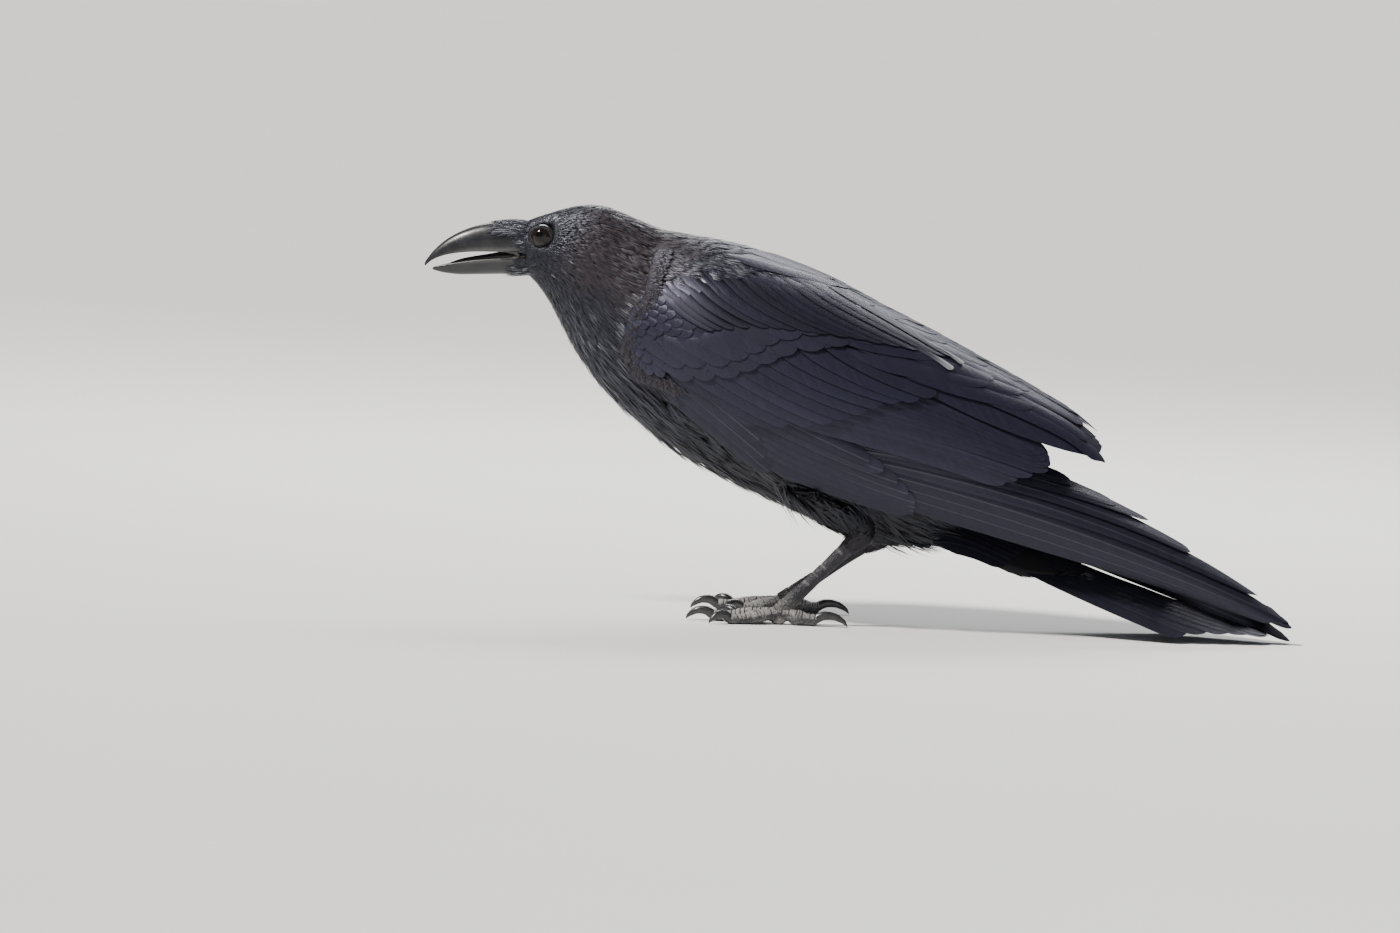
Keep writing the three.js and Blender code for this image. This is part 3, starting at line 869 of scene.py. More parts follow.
class Finish:
    """A node material put together wire by wire."""

    def __init__(self, name, **constants):
        self.material = bpy.data.materials.new(name)
        self.material.use_nodes = True
        self.tree = self.material.node_tree
        self.tree.nodes.clear()
        self.shader = self.tree.nodes.new("ShaderNodeBsdfPrincipled")
        output = self.tree.nodes.new("ShaderNodeOutputMaterial")
        self.tree.links.new(self.shader.outputs[0], output.inputs["Surface"])
        self.set(**constants)

    def plug(self, socket, value):
        """Links a wire to a socket, or sets a constant on it."""
        if isinstance(value, Wire):
            self.tree.links.new(value.socket, socket)
        elif isinstance(value, tuple) and len(value) == 3 and socket.type == "RGBA":
            socket.default_value = (*value, 1.0)
        else:
            socket.default_value = value

    def add(self, kind, settings, sockets, out=0):
        """A node of any type; its settings come before its sockets."""
        node = self.tree.nodes.new(kind)
        for name, value in settings.items():
            setattr(node, name, value)
        for key, value in sockets.items():
            self.plug(node.inputs[key], value)
        return Wire(self, node.outputs[out])

    def set(self, **sockets):
        """Sets sockets of the shader, named with _ for a space."""
        for socket, value in sockets.items():
            self.plug(self.shader.inputs[socket.replace("_", " ")], value)

    def value(self, name):
        """A number stored by point on the mesh."""
        return self.add("ShaderNodeAttribute", {"attribute_name": name}, {}, out="Fac")

    def place(self):
        """Where the point is on the object, in metres."""
        return self.add("ShaderNodeTexCoord", {}, {}, out="Object")

    def split(self, vector):
        """The three numbers of a vector."""
        sockets = {0: vector}
        return [self.add("ShaderNodeSeparateXYZ", {}, sockets, out=k) for k in range(3)]

    def vector(self, x, y, z=0.0):
        return self.add("ShaderNodeCombineXYZ", {}, {0: x, 1: y, 2: z})

    def noise(self, vector, scale, detail=2.0, roughness=0.5):
        sockets = {"Vector": vector, "Scale": scale, "Detail": detail, "Roughness": roughness}
        return self.add("ShaderNodeTexNoise", {}, sockets)

    def cells(self, vector, scale):
        return self.add("ShaderNodeTexVoronoi", {}, {"Vector": vector, "Scale": scale})

    def mix(self, factor, first, second):
        """From the first colour to the second."""
        sockets = {0: factor, 6: first, 7: second}
        return self.add("ShaderNodeMix", {"data_type": "RGBA"}, sockets, out=2)

    def bump(self, height, distance):
        """Relief of that many millimetres where the height is 1."""
        sockets = {"Height": height, "Distance": distance * MM}
        self.set(Normal=self.add("ShaderNodeBump", {}, sockets))


STREAK_DEPTH = 0.14


def vane_places(finish):
    """Distance from the shaft and from the root of a feather, in hundreds of millimetres."""
    uv = finish.add("ShaderNodeUVMap", {"uv_map": "vane"}, {})
    across, along, _ = finish.split(uv)
    return abs(across), along


def feather_finish(name, dark, light, brown, rough, metal, shaft, gloss_level, gloss_tint, tips=0.0):
    """Black feather with glossy barbs that slant off a shaft. Tone makes its colour lighter, partly as
    the feather's own random tone and partly as painted sheen; tone over 1 adds painted glints of pale
    highlight.
    """
    f = Finish(name, Specular_IOR_Level=gloss_level, Specular_Tint=gloss_tint)
    tone = f.value("tone")
    warm = f.value("warm")
    away, along = vane_places(f)
    barb = along - away * 1.3
    streaks = f.noise(f.vector(barb, away * 0.16, tone * 9), scale=130, detail=3, roughness=0.6)
    broad = f.noise(f.vector(barb, away * 0.4, tone * 5), scale=22, detail=2)
    spine = 1 - away.rising(0.002, 0.0055)
    # Lighter colour where tone and the barb noise are high: the feather's own varied tone, and painted
    # sheen where a region raises the tone.
    painted_sheen_and_tone = (tone * 0.55 + broad * 0.5 + streaks * 0.35 - 0.2).rising(0.0, 1.0)
    colour = f.mix(painted_sheen_and_tone, dark, light)
    colour = f.mix(warm * 0.85, colour, brown)
    colour = f.mix(spine * shaft, colour, (0.13, 0.128, 0.14))
    # Painted glints: where tone is over 1, a pale grey highlight is mixed into the colour along the
    # streaks.
    painted_glint = tone.rising(1.0, 2.0) * (streaks * 1.1 + 0.25)
    colour = f.mix(painted_glint, colour, (0.3, 0.3, 0.33))
    if tips:
        colour = f.mix(along.rising(0.23, 0.4) * tips, colour, (0.42, 0.42, 0.45))
    f.set(Base_Color=colour)
    f.set(Roughness=rough + streaks * 0.12 + warm * 0.08 - spine * 0.1 - tone * 0.13)
    f.set(Metallic=metal - warm * metal * 0.6)
    f.bump(streaks * 0.8 + broad * 0.3, STREAK_DEPTH)
    return f.material


def flat_black_finish():
    """What lies under the feathers."""
    f = Finish("under_feathers", Roughness=0.85, Specular_IOR_Level=0.2)
    down = f.noise(f.place(), scale=700, detail=4, roughness=0.7)
    f.set(Base_Color=f.mix(down, (0.004, 0.004, 0.005), (0.016, 0.015, 0.018)))
    f.bump(down, 0.5)
    return f.material


def horn_finish(name, dark, light, edge, rough):
    """Black horn, brushed along its length, paler at its cutting edge (the value warm)."""
    f = Finish(name, Specular_IOR_Level=0.5, Coat_Roughness=0.12)
    place = f.place()
    x, y, z = f.split(place)
    tone = f.value("tone")
    rubbed = f.noise(f.vector(x * 0.15, y, z), scale=1500, detail=3, roughness=0.6)
    cloud = f.noise(place, scale=130, detail=3)
    colour = f.mix((cloud * 0.6 + rubbed * 0.4).rising(0.3, 0.75), dark, light)
    colour = f.mix(f.value("warm"), colour, edge)
    f.set(Base_Color=colour)
    f.set(Roughness=rough + rubbed * 0.16 + cloud * 0.08 - tone * 0.08)
    f.set(Coat_Weight=0.25 - cloud * 0.15)
    f.bump(rubbed * 0.5 + cloud, 0.12)
    return f.material


def leg_finish(name, dark, light, dust, gap):
    """Scaly leg skin: tone is the gap between two scutes, and warm how dusty the place is."""
    f = Finish(name, Specular_IOR_Level=0.45)
    place = f.place()
    tone = f.value("tone")
    warm = f.value("warm")
    pebble = f.cells(place, 850)
    fine = f.noise(place, scale=1800, detail=3, roughness=0.6)
    cloud = f.noise(place, scale=160, detail=2)
    colour = f.mix((cloud * 0.5 + fine * 0.5).rising(0.3, 0.7), dark, light)
    rubbed = (warm * (fine + cloud * 1.1 - pebble * 0.7 + 0.2) * (1 - tone)).rising(0.3, 1.05)
    colour = f.mix(rubbed, colour, dust)
    colour = f.mix(tone * (fine * 1.1 + 0.1), colour, gap)
    f.set(Base_Color=colour)
    f.set(Roughness=0.42 + fine * 0.2 + rubbed * 0.25)
    f.bump(fine * 0.4 - pebble * 1.2 - tone * 0.5, 0.4)
    return f.material


def eye_finish():
    """tone is the angle from the middle of the eye, as a share of half a turn."""
    f = Finish("eye_brown", Roughness=0.06, Specular_IOR_Level=0.25, Coat_Weight=0.12,
               Coat_Roughness=0.02)
    tone = f.value("tone")
    threads = f.noise(f.place(), scale=1600, detail=3)
    iris = f.mix(threads.rising(0.35, 0.7), (0.004, 0.0026, 0.002), (0.016, 0.009, 0.006))
    pupil = 1 - tone.rising(0.115, 0.13)
    white = tone.rising(0.235, 0.255)
    f.set(Base_Color=f.mix(white, f.mix(pupil, iris, (0.001, 0.001, 0.001)), (0.012, 0.011, 0.011)))
    return f.material


def lid_finish():
    """warm marks the pale bare rim."""
    f = Finish("eyelid", Specular_IOR_Level=0.4)
    place = f.place()
    grain = f.noise(place, scale=2200, detail=3, roughness=0.6)
    colour = f.mix(grain, (0.004, 0.004, 0.005), (0.018, 0.017, 0.018))
    colour = f.mix(f.value("warm") * (grain * 0.6 + 0.4), colour, (0.11, 0.105, 0.105))
    f.set(Base_Color=colour)
    f.set(Roughness=0.5 + grain * 0.3)
    f.bump(grain, 0.25)
    return f.material


def mouth_finish():
    """The dark damp skin inside the bill."""
    f = Finish("mouth_lining", Specular_IOR_Level=0.4)
    damp = f.noise(f.place(), scale=600, detail=2)
    f.set(Base_Color=f.mix(damp, (0.006, 0.005, 0.006), (0.03, 0.022, 0.026)))
    f.set(Roughness=0.3 + damp * 0.3)
    f.bump(damp, 0.2)
    return f.material


def floor_finish():
    """Pale smooth board."""
    f = Finish("studio_floor", Specular_IOR_Level=0.2)
    grain = f.noise(f.place(), scale=3, detail=4)
    f.set(Base_Color=f.mix(grain, (0.78, 0.78, 0.76), (0.82, 0.82, 0.8)))
    f.set(Roughness=0.8 + grain * 0.1)
    return f.material


PLUMAGE = feather_finish(
    "plumage", (0.003, 0.003, 0.0045), (0.021, 0.021, 0.032), (0.034, 0.023, 0.023),
    rough=0.45, metal=0.14, shaft=0.0, gloss_level=0.5, gloss_tint=(0.86, 0.87, 1.0))
COVERT = feather_finish(
    "covert", (0.004, 0.0037, 0.0072), (0.018, 0.017, 0.033), (0.033, 0.0265, 0.031),
    rough=0.45, metal=0.1, shaft=0.03, gloss_level=0.45, gloss_tint=(0.8, 0.78, 1.0))
FLIGHT = feather_finish(
    "flight_feather", (0.0035, 0.0033, 0.006), (0.016, 0.0152, 0.0275), (0.026, 0.022, 0.025),
    rough=0.43, metal=0.1, shaft=0.2, gloss_level=0.45, gloss_tint=(0.8, 0.78, 1.0))
PALE = feather_finish(
    "pale_covert", (0.014, 0.014, 0.02), (0.05, 0.05, 0.065), (0.1, 0.09, 0.09),
    rough=0.42, metal=0.0, shaft=0.0, gloss_level=0.42, gloss_tint=(0.9, 0.9, 1.0), tips=0.42)
UNDER = flat_black_finish()
HORN = horn_finish("bill_horn", (0.006, 0.006, 0.007), (0.02, 0.02, 0.024), (0.1, 0.095, 0.09), 0.26)
CLAW = horn_finish("claw_horn", (0.014, 0.013, 0.014), (0.045, 0.043, 0.045), (0.12, 0.11, 0.1), 0.2)
SHANK = leg_finish("tarsus_skin", (0.007, 0.0065, 0.009), (0.03, 0.027, 0.035), (0.2, 0.185, 0.175),
                   gap=(0.16, 0.15, 0.155))
TOE = leg_finish("toe_skin", (0.012, 0.011, 0.013), (0.05, 0.046, 0.05), (0.27, 0.258, 0.25),
                 gap=(0.012, 0.011, 0.011))
EYE_BROWN = eye_finish()
LID = lid_finish()
MOUTH = mouth_finish()

# ---- Skin ------------------------------------------------------------------------------------

FLESH = ["head", "neck", "trunk", "thigh_left", "thigh_right"]
SWELL = 0.6  # the solids are swollen by this, so that they join into one
SKIN_VOXEL = 2.0  # how fine the joined surface is

# The coat by body station: length, half width and blades of a feather, depth, and spacing.
COAT = [
    [4.5, 0.8, 3, 0.5, 1.15],
    [5, 0.85, 3, 0.6, 1.2],
    [6.5, 1.1, 3, 0.9, 1.5],
    [8.5, 1.4, 4, 1.2, 1.9],
    [11, 1.7, 4, 1.6, 2.3],
    [14, 2.0, 4, 2.0, 2.7],
    [17, 2.5, 5, 2.6, 3.2],
    [20, 3.0, 5, 3.2, 3.9],
    [23, 3.5, 6, 3.7, 4.5],
    [25, 4.0, 6, 4.0, 4.9],
]


def coat_at(points):
    """The measures of the coat where points are on the body, as in a row of COAT."""
    at, _, _ = body_place(points)
    return between(COAT, np.clip(at, 0, len(COAT) - 1.001))


def skin_surface():
    """The flesh as one closed surface, drawn in from the solids by the coat's depth."""
    points, faces, total = [], [], 0
    for name in FLESH:
        spots, corners = read_mesh(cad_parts[name].data)
        merged, index = np.unique(spots.round(3), axis=0, return_inverse=True)
        corners = index.ravel()[corners]
        edge_a = merged[corners[:, 1]] - merged[corners[:, 0]]
        edge_b = merged[corners[:, 2]] - merged[corners[:, 0]]
        facing = np.cross(edge_a, edge_b)
        swelling = np.zeros_like(merged)
        for k in range(3):
            np.add.at(swelling, corners[:, k], facing)
        points.append(merged + unit(swelling) * SWELL)
        faces.append(corners + total)
        total += len(merged)
    rough = mesh_object("flesh", np.concatenate(points), faces)
    remesh = rough.modifiers.new("join", "REMESH")
    remesh.mode = "VOXEL"
    remesh.voxel_size = SKIN_VOXEL * MM
    ease = rough.modifiers.new("ease", "SMOOTH")
    ease.iterations = 6
    seen = rough.evaluated_get(bpy.context.evaluated_depsgraph_get()).to_mesh()
    spots = np.empty(len(seen.vertices) * 3)
    seen.vertices.foreach_get("co", spots)
    normals = np.empty(len(seen.vertices) * 3)
    seen.vertices.foreach_get("normal", normals)
    quads = np.empty(len(seen.loops), np.int32)
    seen.loops.foreach_get("vertex_index", quads)
    bpy.data.objects.remove(rough)
    spots = spots.reshape(-1, 3) / MM - SHIFT
    spots -= normals.reshape(-1, 3) * (coat_at(spots)[:, 3:4] + SWELL)
    return spots, quads.reshape(-1, 4)


skin_points, skin_quads = skin_surface()
SKIN = Form(skin_points, skin_quads)
install(mesh_object("skin", skin_points, [skin_quads]), UNDER, "plumage", *FLESH)

# ---- Wings -----------------------------------------------------------------------------------


def wing_bed(side):
    """A dark sheet under the feathers, so that nothing shows between them."""
    outer, inner = (oval_grid(ARM, 10, 96, side, grow=-depth) for depth in BED_DEPTHS)
    rows, around = outer.shape[:2]
    quads = grid_faces(rows, around)[:, ::-1]
    centre = outer.reshape(-1, 3)[quads].mean(1)
    lifted = centre[:, 2] + sag_at(centre[:, 0], side)
    kept = quads[inside(WING_BED, centre[:, 0], lifted) & (centre[:, 1] * side > 1.5)]
    used, index = np.unique(kept, return_inverse=True)
    kept = index.reshape(-1, 4)
    points = np.concatenate([outer.reshape(-1, 3)[used], inner.reshape(-1, 3)[used]])
    edges = np.concatenate([kept[:, [k, (k + 1) % 4]] for k in range(4)])
    known = {tuple(edge) for edge in edges.tolist()}
    rim = np.array([edge for edge in edges.tolist() if (edge[1], edge[0]) not in known])
    walls = np.stack([rim[:, 1], rim[:, 0], rim[:, 0] + len(used), rim[:, 1] + len(used)], -1)
    faces = [kept, kept[:, ::-1] + len(used), walls]
    bed = mesh_object(f"wing_bed_{SIDE_NAMES[side]}", points, faces)
    install(bed, UNDER, "flight_feathers")


def lesser_coverts(coat, form, side, rng):
    """Flat scales over the bend of the wing, smallest at its front edge."""
    box_x, box_z, box_width, box_height = LESSER_COVERT_BOX
    xs = [p[0] for p in LESSER_COVERTS_EDGE]
    zs = [p[1] for p in LESSER_COVERTS_EDGE]
    spots = []
    for _ in range(LESSER_COVERT_TRIES):
        x = rng.uniform(min(xs), max(xs))
        z = rng.uniform(min(zs), max(zs))
        size = 0.5 + 0.4 * float(smooth(x, -99, -50))
        if not inside(LESSER_COVERTS_EDGE, np.array([x]), np.array([z]))[0]:
            continue
        gaps = ((x - a) ** 2 + (z - b) ** 2 / 0.8 - (LESSER_COVERT_GAP * (size + s) / 2) ** 2
                for a, b, s in spots)
        if all(gap > 0 for gap in gaps):
            spots.append((x, z, size))
    for x, z, size in sorted(spots, reverse=True):
        turn = math.radians(-20 - 38 * float(smooth(-x - (z - 160), 60, 105)) + rng.normal(0, 6))
        length = LESSER_COVERT_LENGTH * size
        root = (x - math.cos(turn) * length * 0.6, z - math.sin(turn) * length * 0.6)
        tip = (x + math.cos(turn) * length * 0.4, z + math.sin(turn) * length * 0.4)
        line = bowed(form, side, root, tip, 0.2, count=8)
        island_x = 0.06 + 0.86 * (x - box_x) / box_width
        island_y = 0.06 + 0.86 * (z - box_z) / box_height
        # Painted highlight: coverts at the front edge of the wing's bend get a higher tone, which
        # lightens them and can add painted glints.
        bend = rng.uniform(0.0, 0.45) * float(1 - smooth(x - 0.5 * abs(z - 178), -103, -91))
        wide = 7.2 * size * rng.uniform(0.85, 1.1)
        vane(coat, form, side, line, wide, wide, (island_x, island_y, PATCH, PATCH), rng, lift=0.3,
             rise=1.0, tilt=0.3, tuck=0.4, blunt=rng.uniform(1.15, 1.5), taper=0.1, ridge=0.05,
             thick=0.2, camber=0.3, curl=0.1, rows=11, tone=rng.uniform(0.35, 0.85) + bend, root=0.6)


def wing(side):
    """The feathers of one folded wing, from its long primaries up; returns the arm's form."""
    name = SIDE_NAMES[side]
    rng = np.random.default_rng(20 + side)
    arm = oval_form(ARM, side)
    hand = oval_form(HAND, side)
    wing_bed(side)

    primaries = Coat()
    roots = between(PRIMARY_ROOTS, np.linspace(0, 1, len(PRIMARIES)))
    islands = cells(len(PRIMARIES) + PRIMARY_COVERT_COUNT + ALULA_COUNT)
    for (tip_x, tip_z, bow), root in zip(PRIMARIES, roots):
        nudge = rng.normal(0, 0.7, 3)
        line = bowed(hand, side, root, (tip_x + nudge[0], tip_z + nudge[1] * 0.5), bow, count=40)
        vane(primaries, hand, side, line, 5.6, 15, islands.pop(0), rng, lift=-1.7, tilt=1.0,
             taper=0.3, blunt=0.6, ridge=0.3, thick=0.7, rows=46, columns=FINE_COLUMNS,
             ragged=0.003, tone=rng.uniform(0.35, 0.6), curl=0.3)
    vane_row(primaries, hand, side, fan(PRIMARY_COVERTS, PRIMARY_COVERT_COUNT), rng, islands,
             lift=0.0, rise=0.9, tilt=1.3, taper=0.3, blunt=1.1, ridge=0.2, rows=24, curl=0.3,
             tones=(0.3, 0.85))
    vane_row(primaries, hand, side, fan(ALULA, ALULA_COUNT), rng, islands, lift=1.0, rise=0.6,
             tilt=1.1, taper=0.15, blunt=1.1, ridge=0.2, rows=24, curl=0.4, tones=(0.4, 0.8))
    primaries.piece(f"primaries_and_alula_{name}", FLIGHT, "flight_feathers", f"primaries_{name}")

    secondaries = Coat()
    islands = cells(SECONDARY_COUNT + TERTIAL_COUNT + GREATER_COVERT_COUNT + sum(MEDIAN_COVERT_COUNTS))
    vane_row(secondaries, arm, side, fan(SECONDARIES, SECONDARY_COUNT), rng, islands, lift=-1.7,
             tilt=0.9, taper=0.2, blunt=1.1, ridge=0.4, thick=0.7, rows=40, columns=FINE_COLUMNS,
             curl=0.25)
    vane_row(secondaries, arm, side, fan(TERTIALS, TERTIAL_COUNT), rng, islands, lift=-0.9, rise=0.6,
             tilt=0.5, taper=0.15, blunt=0.9, ridge=0.4, thick=0.7, rows=40, columns=FINE_COLUMNS,
             ragged=0.01, curl=0.3, tones=(0.4, 0.6))
    vane_row(secondaries, arm, side, fan(GREATER_COVERTS, GREATER_COVERT_COUNT), rng, islands,
             lift=-0.4, rise=0.9, tilt=1.3, taper=0.1, blunt=1.0, rows=30, curl=0.35, tones=(0.3, 0.85))
    for high, count in zip((0, UPPER_ROW), MEDIAN_COVERT_COUNTS):
        row = fan(MEDIAN_COVERTS, count) + np.array([-0.5, 1, -0.5, 1, 0, 0, 0]) * high
        vane_row(secondaries, arm, side, row, rng, islands, lift=0.3 + 0.05 * high, rise=0.8,
                 tilt=0.95, taper=0.0, blunt=1.3, rows=16, curl=0.2, thick=0.3, camber=0.4, root=0.5,
                 tones=(0.4, 0.9), warm=0.12)
    secondaries.piece(f"secondaries_and_coverts_{name}", COVERT, "flight_feathers", f"wing_{name}")

    shoulder = Coat()
    lesser_coverts(shoulder, arm, side, rng)
    islands = cells(SCAPULAR_COUNT)
    # The shoulder feathers get low tones: painted shade where the mantle overhangs them.
    vane_row(shoulder, arm, side, fan(SCAPULARS, SCAPULAR_COUNT), rng, islands, lift=1.2, rise=0.5,
             tilt=1.2, taper=0.35, blunt=1.9, ridge=0.15, rows=26, curl=0.2, camber=0.4, thick=0.4,
             root=0.5, tones=(0.0, 0.4))
    shoulder.piece(f"shoulder_feathers_{name}", COVERT, "flight_feathers")
    if side == LEFT:
        pale = Coat()
        vane_row(pale, arm, side, PALE_COVERTS, rng, cells(len(PALE_COVERTS)), jitter=0.2, lift=1.5,
                 rise=1.0, tilt=0.3, taper=0.0, blunt=1.0, rows=24, curl=0.3, camber=0.4,
                 tones=(0.6, 0.9))
        pale.piece("pale_coverts_left", PALE, "flight_feathers")
    return arm


ARMS = {LEFT: wing(LEFT), RIGHT: wing(RIGHT)}

# ---- Tail ------------------------------------------------------------------------------------


def tail():
    """The tail feathers, each over the next one out, and the coverts over their roots."""
    form = tail_form()
    coat = Coat()
    rng = np.random.default_rng(7)
    islands = cells(2 * len(TAIL_TIPS) + TAIL_COVERT_COUNT, tall=5)
    for k in reversed(range(len(TAIL_TIPS))):
        tip_x, tip_y = TAIL_TIPS[k]
        for side in (LEFT, RIGHT):
            t = np.linspace(0, 1, 40)
            x = 96 + (tip_x + rng.normal(0, 1) - 96) * t
            root_y = 0.9 + 2.2 * k
            y = side * (root_y + (tip_y - root_y) * t**0.85)
            line = np.stack([x, y, tail_height(x, y)], -1)
            vane(coat, form, side, line, 9, 13, islands.pop(0), rng,
                 lift=-0.25 - 0.42 * k, tilt=-0.15, taper=0.0, blunt=1.0, ridge=0.4, thick=0.7,
                 rows=44, columns=FINE_COLUMNS, ragged=0.006, tone=rng.uniform(0.1, 0.35), tuck=0.3)
    for k in reversed(range(TAIL_COVERT_COUNT)):
        side = LEFT if k % 2 else RIGHT
        y = side * (2 + 1.45 * k)
        x = np.linspace(92, 160 - 1.3 * k, 20)
        line = np.stack([x, 0 * x + y, tail_height(x, y)], -1)
        vane(coat, form, side, line, 7, 7, islands.pop(0), rng, lift=0.3, rise=0.4,
             taper=0.1, blunt=1.4, rows=16, tone=rng.uniform(0.3, 0.6))
    coat.piece("tail_feathers", FLIGHT, "flight_feathers", "tail")


def undertail():
    """The root of the tail, and the soft feathers that cover it below."""
    x = np.linspace(90, TAIL_BASE_END, 60)
    row = between(TAIL, np.interp(x, [r[0] for r in TAIL], np.arange(len(TAIL))))
    thick = row[:, 4] * (1 - 0.9 * smooth(x, 150, TAIL_BASE_END)) - 1.2
    turn = all_round(56)
    across = np.cos(turn)
    width = 0.84 * row[:, 3:4] * (1 - 0.7 * smooth(x, 135, TAIL_BASE_END))[:, None]
    y = width * across
    over = tail_height(x[:, None] + 0 * y, y) - 1.6
    round_edge = np.abs(np.sin(turn)) ** 0.8
    z = np.where(np.sin(turn) > 0, over, over - np.maximum(thick, 0.4)[:, None] * round_edge)
    rings = np.stack([x[:, None] + 0 * y, y, np.maximum(z, 1.2)], -1)
    lofted("tail_root", rings, UNDER, "plumage")
    below = grid_faces(*rings.shape[:2])
    flat = rings.reshape(-1, 3)
    facing = np.cross(flat[below[:, 1]] - flat[below[:, 0]], flat[below[:, 3]] - flat[below[:, 0]])
    sign = np.sign((facing * (flat[below].mean(1) - flat[below].mean((0, 1)))).sum())
    below = below if sign > 0 else below[:, ::-1]
    form = Form(flat, below)
    middle = flat[below].mean(1)
    lower = below[middle[:, 2] < tail_height(*middle[:, :2].T) - 1.75]
    starts = scattered(triangles_of(flat, lower), lambda spots: np.full(len(spots), 4.0), 17)
    starts = starts[starts[:, 0] < TAIL_BASE_END - UNDERTAIL_BEFORE]
    reach = np.interp(starts[:, 0], x, UNDERTAIL_SHARE * width[:, 0])
    starts = starts[np.abs(starts[:, 1]) < reach]
    rng = np.random.default_rng(18)
    size = rng.uniform(0.85, 1.15, len(starts)) * (1 - 0.35 * smooth(starts[:, 0], 150, 205))

    def lie(points, normals):
        return in_surface(np.array([1.0, 0, -0.3]) + 0 * points, normals)

    coat = Coat()
    tufts(coat, form, starts, lie, UNDERTAIL_LENGTH * size, 6, 4.0 * size,
          UNDERTAIL_DEPTH * size * UNDERTAIL_LIFT, 6, rng, tone=rng.normal(0.2, 0.08, len(starts)),
          warm=np.zeros(len(starts)), rows=5, fine=1.6, unrest=0.5)
    coat.piece("undertail_coverts", PLUMAGE, "plumage")


tail()
undertail()

# ---- Mantle ----------------------------------------------------------------------------------


def long_back_feathers(side):
    """Inner tertials and long scapulars, which close over the middle of the back."""
    coat = Coat()
    rng = np.random.default_rng(90 + side)
    arm = ARMS[side]
    rows = [INNER_TERTIALS] + [
        [[tip - span, 50, tip, 32, 4], [tip - span * 0.9, 10, tip - 0.25, 4.5, 2]]
        for tip, span in zip(np.linspace(8.0, 4.2, 6), np.linspace(2.9, 2.0, 6))
    ]
    islands = cells(6 * len(rows))
    for number, row in enumerate(rows):
        count = 5 if number == 0 else 4
        for root_at, root_drop, tip_at, tip_drop, sway in fan(row, count):
            nudge = rng.normal(0, [0.14, 2.0, 0.16, 1.8])
            wide = 7.5 * rng.uniform(0.85, 1.2)
            line = laid(ARM, side, (root_at + nudge[0], root_drop + nudge[1]),
                        (tip_at + nudge[2], max(tip_drop + nudge[3], 3.5)), sway)
            vane(coat, arm, side, line, wide, wide, islands.pop(0), rng, lift=0.5 + 0.12 * number,
                 rise=0.7, tilt=0.35, tuck=1.0, taper=0.25, blunt=1.5, ridge=0.25, thick=0.4, rows=26,
                 camber=0.25, curl=0.25, ragged=0.01, tone=rng.uniform(0.35, 0.7), root=0.45)
    coat.piece(f"back_feathers_{SIDE_NAMES[side]}", COVERT, "flight_feathers")


def middle_back_feathers():
    """A row of feathers down the middle of the back, over the meeting of the wings."""
    coat = Coat()
    rng = np.random.default_rng(93)
    tips = np.linspace(9.3, 4.3, 17)
    islands = cells(len(tips))
    for k, tip in enumerate(tips):
        side = LEFT if k % 2 else RIGHT
        drop = rng.uniform(0.3, 2.6)
        line = laid(ARM, side, (tip - rng.uniform(1.5, 1.9), drop * 0.4), (tip, drop))
        wide = rng.uniform(6.2, 7.8)
        vane(coat, ARMS[LEFT], side, line, wide, wide, islands.pop(0), rng, lift=1.3, rise=0.9,
             tilt=0.2, tuck=1.2, taper=0.2, blunt=1.4, ridge=0.2, thick=0.4, rows=22, camber=0.2,
             curl=0.3, ragged=0.01, tone=rng.uniform(0.3, 0.65), root=0.5)
    coat.piece("middle_back_feathers", COVERT, "flight_feathers")


def bend_plumes(side):
    """Silky tufts of the neck, over the front edge of the folded wing and of the mantle."""
    arm = ARMS[side]
    rng = np.random.default_rng(95 + side)
    count = 760
    xz = between(WING_FRONT, rng.uniform(0, len(WING_FRONT) - 1, count))
    xz = xz + np.stack([rng.uniform(-4, 2, count), rng.uniform(-2, 2, count)], 1)
    starts = arm.from_side(xz, side)
    swing = rng.normal(0, 0.14, count)

    def lie(points, normals):
        return swung(in_surface(np.array([1.0, 0, -0.45]) + 0 * points, normals), normals, swing)

    coat = Coat()
    tufts(coat, arm, starts, lie, rng.uniform(5.5, 9, count), 5, np.full(count, 1.5),
          rng.uniform(1.2, 1.9, count), 5, rng, tone=rng.uniform(0.0, 0.8, count),
          warm=rng.uniform(0.1, 0.6, count), base=-0.3, rows=5, fine=1.6, stray=0.2, thick=0.15,
          unrest=0.6)
    coat.piece(f"bend_plumes_{SIDE_NAMES[side]}", PLUMAGE, "plumage")


